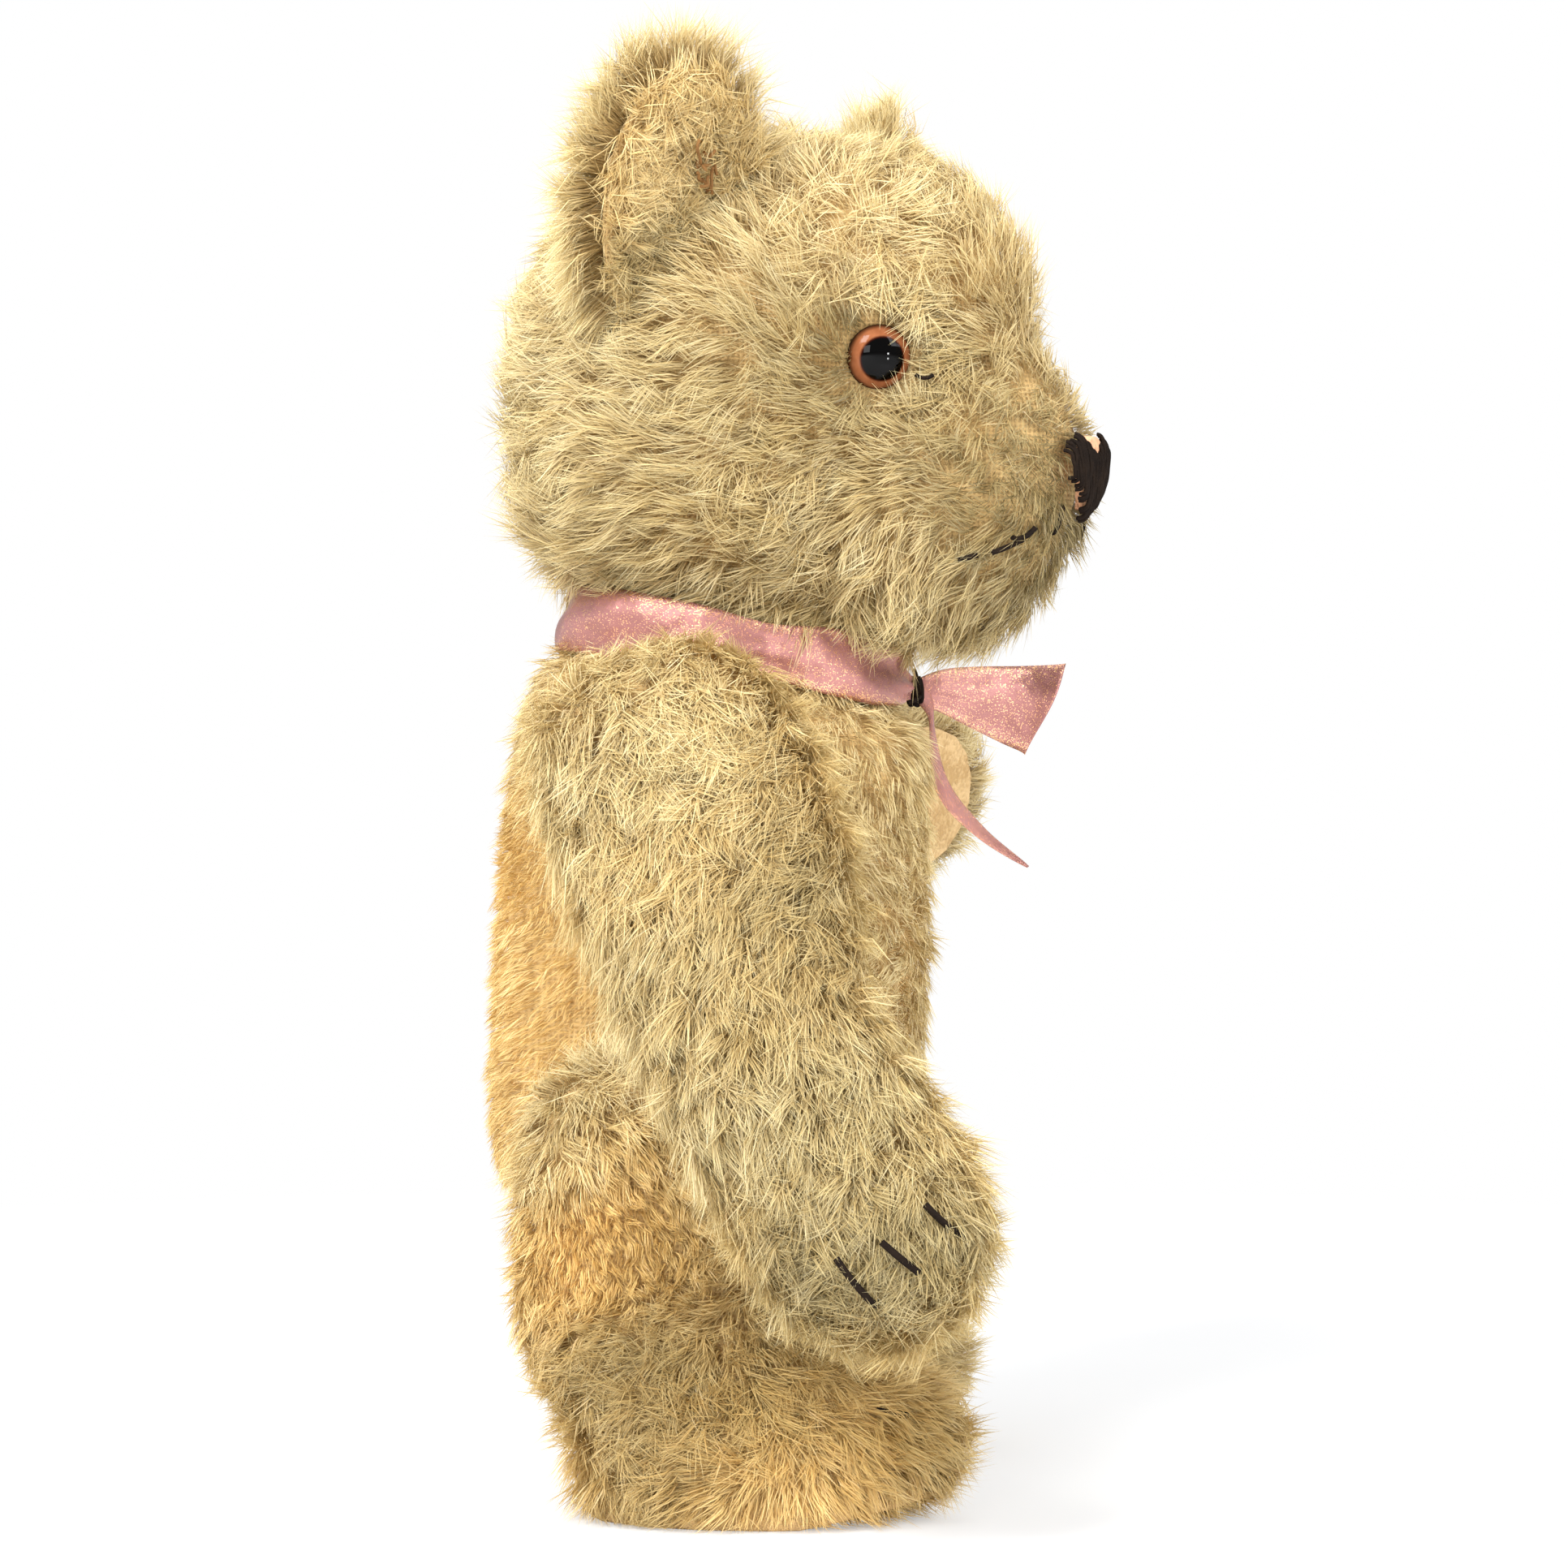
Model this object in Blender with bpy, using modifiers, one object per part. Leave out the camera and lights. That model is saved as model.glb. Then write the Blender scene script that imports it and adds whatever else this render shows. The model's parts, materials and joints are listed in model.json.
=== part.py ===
"""Threadbare mohair teddy bear with five disc joints, standing on its felt soles.

It faces -Y, its left is +X and the floor is at Z = 0. Its limbs are sewn on a little askew, turned to its right.
"""

import math

import bmesh
import bpy
from mathutils import Matrix, Vector

# Driving dimensions in metres
COVER = 0.005
GAP = 0.0003
WAD_GAP = 0.0008
TURNING_GAP = 0.0004
STAND_X = -0.00986
STAND_Y = 0.02144

TORSO_BOTTOM = 0.0505
TORSO_WIDTH = 0.095
TORSO_DEPTH = 0.090
WAIST = 0.1195

NECK_HEIGHT = 0.1705
NECK_AHEAD = 0.005
NECK_RADIUS = 0.0345
NECK_COLLAR = 0.0075
NECK_TILT = math.radians(11)
HEAD_TURN = math.radians(-38)
HEAD_CLEARANCE = 0.0095
HEAD_NECK_RADIUS = 0.0335
NECK_HIDDEN = 0.010

SKULL_PLACE = Vector((0, 0.003, 0.057))
SKULL_SIZE = Vector((0.100, 0.092, 0.100))
FOREHEAD_PLACE = Vector((0, 0.029, 0.0705))
FOREHEAD_SIZE = Vector((0.060, 0.070, 0.066))
JOWL_PLACE = Vector((0, 0.002, 0.036))
JOWL_SIZE = Vector((0.102, 0.088, 0.062))
MUZZLE_PLACE = Vector((0, 0.0485, 0.038))
MUZZLE_SIZE = Vector((0.048, 0.062, 0.052))
CHIN_PLACE = Vector((0, 0.043, 0.026))
CHIN_SIZE = Vector((0.048, 0.062, 0.052))
HEAD_CORE = Vector((0, 0.024, 0.044))
HEAD_BLEND = 0.0025

EAR_TOP = Vector((0.030, 0.0165, 0.106))
EAR_LOW = Vector((0.051, -0.006, 0.069))
EAR_REACH = 0.029
EAR_OUT = Vector((0.55, -0.08, 0.80))
EAR_SPREAD = 0.50
EAR_THICKNESS = 0.011
EAR_CUP_RADIUS = 0.050

EYE_PLACE = Vector((0.024, 0.044, 0.057))
EYE_RADIUS = 0.0058
EYE_DOME = 0.0042
EYE_SUNK = 0.0016
EYE_RIM = 0.0008
EYE_CLEAR = 0.012
EYE_WIRE = 0.0005
EYE_WIRE_LOOP = 0.0016
EYE_WIRE_LENGTH = 0.011

NOSE_WIDTH = 0.021
NOSE_HEIGHT = 0.018
NOSE_THICKNESS = 0.005
NOSE_RISE = math.radians(-9)
NOSE_SUNK = 0.0008
MOUTH_THREAD = 0.0006
MOUTH_DROP = math.radians(-19)
MOUTH_FALL = math.radians(15)
MOUTH_SPREAD = math.radians(33)
MOUTH_STEPS = 6

LIMB_SKEW = math.radians(12)
SHOULDER_DROP = 0.025
SHOULDER_HEIGHT = NECK_HEIGHT - SHOULDER_DROP
SHOULDER_BACK = 0.0090
SHOULDER_SHIFT = 0.008
RIGHT_SHOULDER_DENT = 0.0030
LEFT_SHOULDER_DENT = 0.0120
RIGHT_ARM_SPLAY = math.radians(8)
LEFT_ARM_SPLAY = math.radians(44)
SHOULDER_RISE = math.radians(12)
RIGHT_ARM_SWING = math.radians(27)
LEFT_ARM_SWING = math.radians(85)
ARM_TOP = 0.0205
ARM_LENGTH = 0.126
ARM_WIDTH = 0.055
ARM_THICKNESS = 0.035
ARM_BOW = 0.016
ARM_SWAY = 0.0045

PAW_PAD_TO_TIP = 0.032
PAW_PAD_PLACE = ARM_LENGTH - PAW_PAD_TO_TIP
PAW_PAD_LENGTH = 0.040
PAW_PAD_WIDTH = 0.034
PAW_PAD_THICKNESS = 0.0022
PAW_FLAT = 0.0015
PAW_SLANT = math.radians(12)

HIP_HEIGHT = 0.0705
HIP_BACK = 0.0093
HIP_SHIFT = 0.0105
LEG_SPLAY = 0.0
HIP_DENT = 0.006
LEG_TOP = 0.020
LEG_DEPTH = 0.049
LEG_THICKNESS = 0.031
FOOT_LENGTH = 0.076
FOOT_WIDTH = 0.041
FOOT_HEIGHT = 0.030
SOLE_THICKNESS = 0.0026
SOLE_MARGIN = 0.003
TOE_BEND = 0.006
TOE_RISE = math.radians(11)

DISC_THICKNESS = 0.0025
ARM_DISC_RADIUS = 0.0125
LEG_DISC_RADIUS = 0.013
NECK_DISC_RADIUS = 0.022
WASHER_RADIUS = 0.0065
WASHER_THICKNESS = 0.001
PIN_BORE = 0.002
PIN_WIRE = 0.0007
PIN_LOOP = 0.003
PIN_CURL = 0.0022
PIN_CURL_STEPS = 4
PIN_LOOP_STEPS = 8
POCKET_RADIUS = 0.008

RIBBON_THICKNESS = 0.0005
RIBBON_WIDTH = 0.0135
RIBBON_PINCH = 0.0036
RIBBON_END = 0.020
RIBBON_TAIL = 0.0045
RIBBON_EASE = 0.0008
RIBBON_BUNCHED = math.radians(50)
RIBBON_TURNS = 22
RIBBON_WAVES = 5
TAIL_SIDE = 0.0011
STRAND_GAP = math.radians(3)
KNOT_THREAD = 0.0008
KNOT_RADIUS = 0.0040

# Segments around each form
BODY_SEGMENTS = 16
HEAD_SEGMENTS = 18
HEAD_RINGS = 13
LIMB_SEGMENTS = 12
DISC_STEPS = 12
WASHER_STEPS = 8


# Collections and materials
def fresh_collection(name):
    collection = bpy.data.collections.new(name)
    bpy.context.scene.collection.children.link(collection)
    return collection


for leftover in list(bpy.data.objects):
    bpy.data.objects.remove(leftover)
BEAR = fresh_collection("teddy_bear")
CUTTERS = fresh_collection("cutters")


def material(name, colour, roughness, metallic=0.0):
    made = bpy.data.materials.new(name)
    made.use_nodes = True
    surface = made.node_tree.nodes["Principled BSDF"]
    surface.inputs["Base Color"].default_value = (*colour, 1)
    surface.inputs["Roughness"].default_value = roughness
    surface.inputs["Metallic"].default_value = metallic
    made.diffuse_color = (*colour, 1)
    return made


MOHAIR = material("mohair", (0.62, 0.46, 0.24), 0.9)
WOOD_WOOL = material("wood_wool", (0.55, 0.40, 0.22), 0.95)
FELT = material("felt", (0.60, 0.36, 0.15), 0.95)
BOARD = material("hardboard", (0.22, 0.12, 0.06), 0.8)
STEEL = material("steel", (0.45, 0.45, 0.45), 0.35, 1.0)
GLASS = material("eye_glass", (0.30, 0.09, 0.03), 0.05)
BLACK_THREAD = material("black_thread", (0.02, 0.016, 0.014), 0.6)
SATIN = material("satin_ribbon", (0.52, 0.22, 0.26), 0.35)


# Helpers that make and place meshes
def ahead(point):
    """A point given as left, forward and up, in the axes of this file."""
    return Vector((point[0], -point[1], point[2]))


def add(name, mesh, finish, parent=None, matrix=None):
    made = bpy.data.objects.new(name, mesh)
    BEAR.objects.link(made)
    mesh.materials.clear()
    mesh.materials.append(finish)
    made.parent = parent
    made.matrix_local = matrix or Matrix.Identity(4)
    return made


def as_cutter(made):
    BEAR.objects.unlink(made)
    CUTTERS.objects.link(made)
    made.hide_render = True
    made.display_type = "WIRE"
    return made


def boolean(target, other, operation="DIFFERENCE"):
    change = target.modifiers.new(f"{operation.lower()} {other.name}", "BOOLEAN")
    change.operation = operation
    change.object = other
    return change


def pivot(name, matrix):
    """An empty on a joint, which the limb's pieces hang from."""
    made = bpy.data.objects.new(name, None)
    BEAR.objects.link(made)
    made.empty_display_size = DISC_THICKNESS * 8
    made.matrix_local = matrix
    return made


def finish_mesh(name, shape):
    """Every quad is cut along the same diagonal, so that a cover and its wad stay a gap apart."""
    bmesh.ops.triangulate(shape, faces=shape.faces, quad_method="FIXED")
    mesh = bpy.data.meshes.new(name)
    shape.to_mesh(mesh)
    shape.free()
    mesh.shade_smooth()
    return mesh


def inset_points(shape, inset):
    """Turns every face outwards, then moves the surface in by the inset."""
    bmesh.ops.recalc_face_normals(shape, faces=shape.faces)
    shape.normal_update()
    moved = [(point, point.co - point.normal * inset) for point in shape.verts]
    for point, place in moved:
        point.co = place


def pressed(point, plane, inset):
    """The point, held back so that a surface moved in by its inset doesn't pass the plane."""
    place, out = plane
    beyond = (point - place).dot(out) + inset
    return point - out * max(beyond, 0)


def press_all(shape, held, inset):
    for point, planes in zip(shape.verts, held):
        for plane in planes:
            point.co = pressed(point.co, plane, inset)


def oval_mesh(name, ovals, segments, planes_at, inset):
    """A sphere whose rings lie on ovals, each a centre and two half-axis vectors, then pressed against planes.

    planes_at gives the planes that hold back a point, each a place and the way out.
    """
    rings = len(ovals) + 1
    shape = bmesh.new()
    bmesh.ops.create_uvsphere(shape, u_segments=segments, v_segments=rings, radius=1)
    for point in shape.verts:
        ring = round(math.acos(max(-1, min(1, point.co.z))) / math.pi * rings)
        centre, across, along = ovals[min(max(ring, 1), len(ovals)) - 1]
        turn = point.co.to_2d()
        if 0 < ring < rings:
            turn.normalize()
            point.co = centre + across * turn.x + along * turn.y
        else:
            point.co = centre
    held = [planes_at(point.co) for point in shape.verts]
    press_all(shape, held, 0)
    inset_points(shape, inset)
    press_all(shape, held, inset)
    return finish_mesh(name, shape)


def turned(name, profile, steps, finish, parent=None, matrix=None):
    """A profile of radius and height points, turned once about the local Z axis."""
    mesh = bpy.data.meshes.new(name)
    count = len(profile)
    mesh.from_pydata(
        [(radius, 0, height) for radius, height in profile],
        [(i, (i + 1) % count) for i in range(count)],
        [],
    )
    made = add(name, mesh, finish, parent, matrix)
    screw = made.modifiers.new("turn", "SCREW")
    screw.steps = steps
    screw.render_steps = steps
    screw.use_merge_vertices = True
    screw.merge_threshold = 0.00001
    screw.use_smooth_shade = False
    return made


def ring_profile(inner, outer, low, high):
    return ((inner, high), (outer, high), (outer, low), (inner, low))


def wire(name, points, radius, finish, parent=None, matrix=None):
    """A round wire through the points, as a mesh with closed ends."""
    curve = bpy.data.curves.new(name, "CURVE")
    curve.dimensions = "3D"
    curve.bevel_depth = radius
    curve.bevel_resolution = 1
    curve.use_fill_caps = True
    spline = curve.splines.new("POLY")
    spline.points.add(len(points) - 1)
    for knot, place in zip(spline.points, points):
        knot.co = (*place, 1)
    return add(name, curve, finish, parent, matrix)


def felt_pad(name, length, width, thickness, parent, matrix, bend=None):
    """An oval of felt on the local XY plane, its long way on Y, which rises by its thickness on Z.

    bend gives the place on Y past which it bends up, towards -Y, and the slope there.
    """
    mesh = bpy.data.meshes.new(name)
    shape = bmesh.new()
    bmesh.ops.create_cone(
        shape, cap_ends=True, segments=BODY_SEGMENTS, radius1=0.5, radius2=0.5, depth=1
    )
    for point in shape.verts:
        point.co = Vector(
            (point.co.x * width, point.co.y * length, (point.co.z + 0.5) * thickness)
        )
    if bend:
        bend_y, slope = bend
        everything = [*shape.verts, *shape.edges, *shape.faces]
        bmesh.ops.bisect_plane(shape, geom=everything, plane_co=(0, bend_y, 0), plane_no=(0, 1, 0))
        for point in shape.verts:
            point.co.z += slope * max(bend_y - point.co.y, 0)
    shape.to_mesh(mesh)
    shape.free()
    return add(name, mesh, FELT, parent, matrix)


def frame_on(place, out, up):
    """A matrix at place whose Z is out and whose Y is as near up as it can be."""
    z = out.normalized()
    x = up.cross(z).normalized()
    y = z.cross(x)
    return Matrix.Translation(place) @ Matrix((x, y, z)).transposed().to_4x4()


def split_pin_points(head_height, tail_height):
    """One folded wire: a tail curled out against its washer, up to the loop, and down to the other curled tail."""
    half_space = PIN_WIRE + GAP / 2
    curl_centre = half_space + PIN_CURL
    turn = tail_height - PIN_WIRE - GAP
    side = [(curl_centre + PIN_CURL, turn)]
    for step in range(PIN_CURL_STEPS + 1):
        angle = math.pi * step / PIN_CURL_STEPS
        side.append(
            (
                curl_centre + PIN_CURL * math.cos(angle),
                turn - PIN_WIRE - PIN_CURL * math.sin(angle),
            )
        )
    loop_centre = head_height + GAP + PIN_WIRE + PIN_LOOP
    start = math.asin(half_space / PIN_LOOP)
    loop = []
    for step in range(PIN_LOOP_STEPS + 1):
        angle = start + (2 * math.pi - 2 * start) * step / PIN_LOOP_STEPS
        loop.append(
            (
                PIN_LOOP * math.sin(angle),
                loop_centre - PIN_LOOP * math.cos(angle),
            )
        )
    right = [Vector((x, 0, z)) for x, z in side]
    left = [Vector((-x, 0, z)) for x, z in reversed(side)]
    return right + [Vector((x, 0, z)) for x, z in loop] + left


def disc_joint(name, disc_radius, joint_frame, limb, limb_frame):
    """The discs, washers and split pin of one joint, whose axis is Z of joint_frame and points into the limb.

    Returns the pocket cutters for the torso's and the limb's stuffing and the bore cutter for both covers.
    """
    wall = TURNING_GAP / 2 + COVER + GAP
    washer_face = wall + DISC_THICKNESS + GAP
    end_face = washer_face + WASHER_THICKNESS
    in_limb = limb_frame.inverted() @ joint_frame
    turned(
        f"{name}_limb_disc",
        ring_profile(PIN_BORE, disc_radius, wall, wall + DISC_THICKNESS),
        DISC_STEPS, BOARD, limb, in_limb,
    )
    turned(
        f"{name}_limb_washer",
        ring_profile(PIN_BORE, WASHER_RADIUS, washer_face, end_face),
        WASHER_STEPS, STEEL, limb, in_limb,
    )
    turned(
        f"{name}_torso_disc",
        ring_profile(PIN_BORE, disc_radius, -wall - DISC_THICKNESS, -wall),
        DISC_STEPS, BOARD, None, joint_frame,
    )
    turned(
        f"{name}_torso_washer",
        ring_profile(PIN_BORE, WASHER_RADIUS, -end_face, -washer_face),
        WASHER_STEPS, STEEL, None, joint_frame,
    )
    wire(
        f"{name}_split_pin", split_pin_points(end_face, -end_face), PIN_WIRE, STEEL, None, joint_frame
    )
    limb_depth = end_face + 2 * (PIN_LOOP + PIN_WIRE) + 3 * GAP
    torso_depth = end_face + 2 * PIN_WIRE + PIN_CURL + PIN_WIRE + 3 * GAP
    shelf = washer_face
    under_cover = wall - GAP / 2
    limb_pocket = turned(
        f"{name}_limb_pocket",
        ((0, limb_depth), (POCKET_RADIUS, limb_depth), (POCKET_RADIUS, shelf),
         (disc_radius + GAP, shelf), (disc_radius + GAP, under_cover), (0, under_cover)),
        DISC_STEPS, BOARD, limb, in_limb,
    )
    torso_pocket = turned(
        f"{name}_torso_pocket",
        ((0, -under_cover), (disc_radius + GAP, -under_cover), (disc_radius + GAP, -shelf),
         (POCKET_RADIUS, -shelf), (POCKET_RADIUS, -torso_depth), (0, -torso_depth)),
        DISC_STEPS, BOARD, None, joint_frame,
    )
    bore = turned(
        f"{name}_bore",
        ((0, end_face), (PIN_BORE, end_face), (PIN_BORE, -end_face), (0, -end_face)),
        WASHER_STEPS, BOARD, None, joint_frame,
    )
    return tuple(as_cutter(cutter) for cutter in (torso_pocket, limb_pocket, bore))


# Torso outline, neck and the planes that the limbs are pulled against
NECK_PLACE = ahead((STAND_X, NECK_AHEAD - STAND_Y, NECK_HEIGHT))
NECK_AXIS = Vector((0, -math.sin(NECK_TILT), math.cos(NECK_TILT)))

# Each row holds the height from the bottom to the collar, the width, the depth and the neck's share of slope
TORSO_ROWS = (
    (0.98, 0.86, 0.90, 0.90),
    (0.93, 0.92, 0.94, 0.60),
    (0.84, 0.955, 0.965, 0.25),
    (0.70, 0.99, 0.99, 0.0),
    (0.53, 1.0, 1.0, 0.0),
    (0.37, 0.98, 1.0, -0.2),
    (0.24, 0.92, 0.99, -0.4),
    (0.14, 0.82, 0.95, -0.6),
    (0.065, 0.67, 0.84, -0.7),
    (0.02, 0.45, 0.60, -0.8),
)


def neck_oval(height, radius):
    centre = NECK_PLACE + NECK_AXIS * height
    along = Vector((0, radius * math.cos(NECK_TILT), radius * math.sin(NECK_TILT)))
    return centre, Vector((radius, 0, 0)), along


def torso_oval(share, width, depth, lean):
    collar = NECK_HEIGHT - NECK_COLLAR
    height = TORSO_BOTTOM + share * (collar - TORSO_BOTTOM)
    slope = max(lean, 0) * math.tan(NECK_TILT)
    half = depth * TORSO_DEPTH / 2
    centre = ahead((STAND_X, NECK_AHEAD * lean - STAND_Y, height))
    return centre, Vector((width * TORSO_WIDTH / 2, 0, 0)), Vector((0, half, half * slope))


def side_plane(side, height, back, dent, splay, rise):
    """Where a limb meets the torso, as the matrix whose Z leaves the torso there, and the limb's own upright matrix."""
    rows = [torso_oval(*row) for row in TORSO_ROWS]
    above = max(i for i, row in enumerate(rows) if row[0].z >= height)
    high, low = rows[above], rows[above + 1]
    share = (height - low[0].z) / (high[0].z - low[0].z)
    half_width = low[1].x + share * (high[1].x - low[1].x)
    half_depth = low[2].y + share * (high[2].y - low[2].y)
    out = Vector((math.cos(splay), math.sin(splay)))
    reach = math.hypot(half_width * out.x, half_depth * out.y) - dent
    left = (reach - back * out.y) / out.x
    place = ahead((STAND_X + side * left, -back - STAND_Y, height))
    upright = (
        Matrix.Translation(place)
        @ Matrix.Rotation(side * splay, 4, "Z")
        @ Matrix.Rotation(-side * rise, 4, "Y")
    )
    return upright @ Matrix.Rotation(side * math.pi / 2, 4, "Y"), upright


JOINTS = {}
for side_name, side, arm_splay, dent in (
    ("right", -1, RIGHT_ARM_SPLAY, RIGHT_SHOULDER_DENT),
    ("left", 1, LEFT_ARM_SPLAY, LEFT_SHOULDER_DENT),
):
    skew = side * LIMB_SKEW
    JOINTS[f"{side_name}_arm"] = side_plane(
        side, SHOULDER_HEIGHT, SHOULDER_BACK - side * SHOULDER_SHIFT, dent,
        arm_splay - skew, SHOULDER_RISE,
    )
    JOINTS[f"{side_name}_leg"] = side_plane(
        side, HIP_HEIGHT, HIP_BACK - side * HIP_SHIFT, HIP_DENT, LEG_SPLAY - skew, 0
    )


# Torso, one cover round one wad
def torso_mesh(name, inset):
    half_gap = TURNING_GAP / 2
    ovals = [
        neck_oval(-half_gap, NECK_RADIUS / 2),
        neck_oval(-half_gap, NECK_RADIUS),
        neck_oval(-NECK_COLLAR, NECK_RADIUS),
    ]
    ovals += [torso_oval(*row) for row in TORSO_ROWS]
    planes = {"neck": (NECK_PLACE - NECK_AXIS * half_gap, NECK_AXIS)}
    for joint, (frame, _) in JOINTS.items():
        out = frame.col[2].to_3d()
        planes[joint] = (frame.translation - out * half_gap, out)

    def planes_at(point):
        limbs = "arm" if point.z > WAIST else "leg"
        return [plane for joint, plane in planes.items() if joint == "neck" or joint.endswith(limbs)]

    return oval_mesh(name, ovals, BODY_SEGMENTS, planes_at, inset)


torso_cover = add("torso_cover", torso_mesh("torso_cover", 0), MOHAIR)
torso_hollow = as_cutter(add("torso_hollow", torso_mesh("torso_hollow", COVER), MOHAIR))
torso_stuffing = add("torso_stuffing", torso_mesh("torso_stuffing", COVER + WAD_GAP), WOOD_WOOL)
boolean(torso_cover, torso_hollow)


def close_joint(name, disc_radius, joint_frame, limb, limb_frame, cover, stuffing):
    torso_pocket, limb_pocket, bore = disc_joint(name, disc_radius, joint_frame, limb, limb_frame)
    for torso_piece in (torso_cover, torso_stuffing):
        boolean(torso_piece, torso_pocket)
    for limb_piece in (cover, stuffing):
        boolean(limb_piece, limb_pocket)
    boolean(torso_cover, bore)
    boolean(cover, bore)


# Head, blended from balls that all hold its core
HEAD_BALLS = (
    (SKULL_PLACE, SKULL_SIZE / 2),
    (FOREHEAD_PLACE, FOREHEAD_SIZE / 2),
    (JOWL_PLACE, JOWL_SIZE / 2),
    (MUZZLE_PLACE, MUZZLE_SIZE / 2),
    (CHIN_PLACE, CHIN_SIZE / 2),
)
HEAD_FRAME = Matrix.Translation(NECK_PLACE) @ Matrix.Rotation(HEAD_TURN, 4, "Z")
head = pivot("head_turn", HEAD_FRAME)
NECK_IN_HEAD = HEAD_FRAME.inverted() @ frame_on(NECK_PLACE, NECK_AXIS, Vector((0, 1, 0)))
UP_THE_NECK = NECK_IN_HEAD.col[2].to_3d()


def ray_reach(direction, centre, half):
    """How far the core is from a ball's skin, along a direction given as left, forward and up."""
    start = Vector((HEAD_CORE[i] - centre[i]) / half[i] for i in range(3))
    way = Vector(direction[i] / half[i] for i in range(3))
    length = way.dot(way)
    along = start.dot(way)
    inside = max(along**2 - length * (start.dot(start) - 1), 0)
    return max(math.sqrt(inside) - along, 0) / length


def head_point(direction, inset=0.0):
    """The point of the head's skin that lies that way from its core, as left, forward and up."""
    way = Vector(direction).normalized()
    depth = Vector((inset, inset, inset))
    reaches = [ray_reach(way, centre, half - depth) for centre, half in HEAD_BALLS]
    blended = HEAD_BLEND * math.log(sum(math.exp(reach / HEAD_BLEND) for reach in reaches))
    return HEAD_CORE + way * blended


def head_normal(direction):
    way = Vector(direction).normalized()
    side = way.cross(Vector((0, 0, 1))).normalized() * 0.01
    rise = side.cross(way).normalized() * 0.01
    level = head_point(way + side) - head_point(way - side)
    climb = head_point(way + rise) - head_point(way - rise)
    normal = level.cross(climb).normalized()
    return normal if normal.dot(way) > 0 else -normal


def head_solid(name, inset):
    """The blended head, level below for its clearance over the shoulders, with its neck joined on."""
    underside = (UP_THE_NECK * HEAD_CLEARANCE, -UP_THE_NECK)
    shape = bmesh.new()
    bmesh.ops.create_uvsphere(
        shape, u_segments=HEAD_SEGMENTS, v_segments=HEAD_RINGS, radius=1
    )
    for point in shape.verts:
        place = ahead(head_point((point.co.x, point.co.z, point.co.y), inset))
        point.co = pressed(place, underside, inset)
    bmesh.ops.recalc_face_normals(shape, faces=shape.faces)
    made = add(name, finish_mesh(name, shape), MOHAIR, head)
    base = TURNING_GAP / 2 + max(inset, 0)
    top = HEAD_CLEARANCE + NECK_HIDDEN + inset
    radius = HEAD_NECK_RADIUS - inset
    stub = turned(
        f"{name}_neck",
        ((0, top), (radius, top), (radius, base), (0, base)),
        HEAD_SEGMENTS, MOHAIR, head, NECK_IN_HEAD,
    )
    boolean(made, as_cutter(stub), "UNION")
    return made


head_cover = head_solid("head_cover", 0)
head_hollow = as_cutter(head_solid("head_hollow", COVER))
head_stuffing = head_solid("head_stuffing", COVER + WAD_GAP)
head_stuffing.data.materials[0] = WOOD_WOOL
head_room = as_cutter(head_solid("head_room", -GAP))
boolean(head_cover, head_hollow)
NECK_FRAME = frame_on(NECK_PLACE, NECK_AXIS, Vector((0, 1, 0)))
close_joint("neck", NECK_DISC_RADIUS, NECK_FRAME, head, HEAD_FRAME, head_cover, head_stuffing)


# Ears, cupped rounds of mohair sewn along a slanting line
def ear(name, side):
    top = ahead((side * EAR_TOP.x, EAR_TOP.y, EAR_TOP.z))
    low = ahead((side * EAR_LOW.x, EAR_LOW.y, EAR_LOW.z))
    base = (top + low) / 2
    line = top - low
    out = ahead((side * EAR_OUT.x, EAR_OUT.y, EAR_OUT.z))
    face = line.cross(out).normalized() * side
    if face.y > 0:
        face = -face
    out.normalize()
    shape = bmesh.new()
    bmesh.ops.create_uvsphere(shape, u_segments=16, v_segments=10, radius=1)
    for point in shape.verts:
        wide = point.co.x * line.length * EAR_SPREAD
        high = point.co.y * EAR_REACH
        deep = point.co.z * EAR_THICKNESS / 2 + (wide**2 + max(high, 0) ** 2) / (2 * EAR_CUP_RADIUS)
        point.co = base + line.normalized() * wide + out * high + face * deep
    bmesh.ops.recalc_face_normals(shape, faces=shape.faces)
    made = add(name, finish_mesh(name, shape), MOHAIR, head)
    boolean(made, head_room)
    return made


ear("right_ear", -1)
ear("left_ear", 1)


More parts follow.
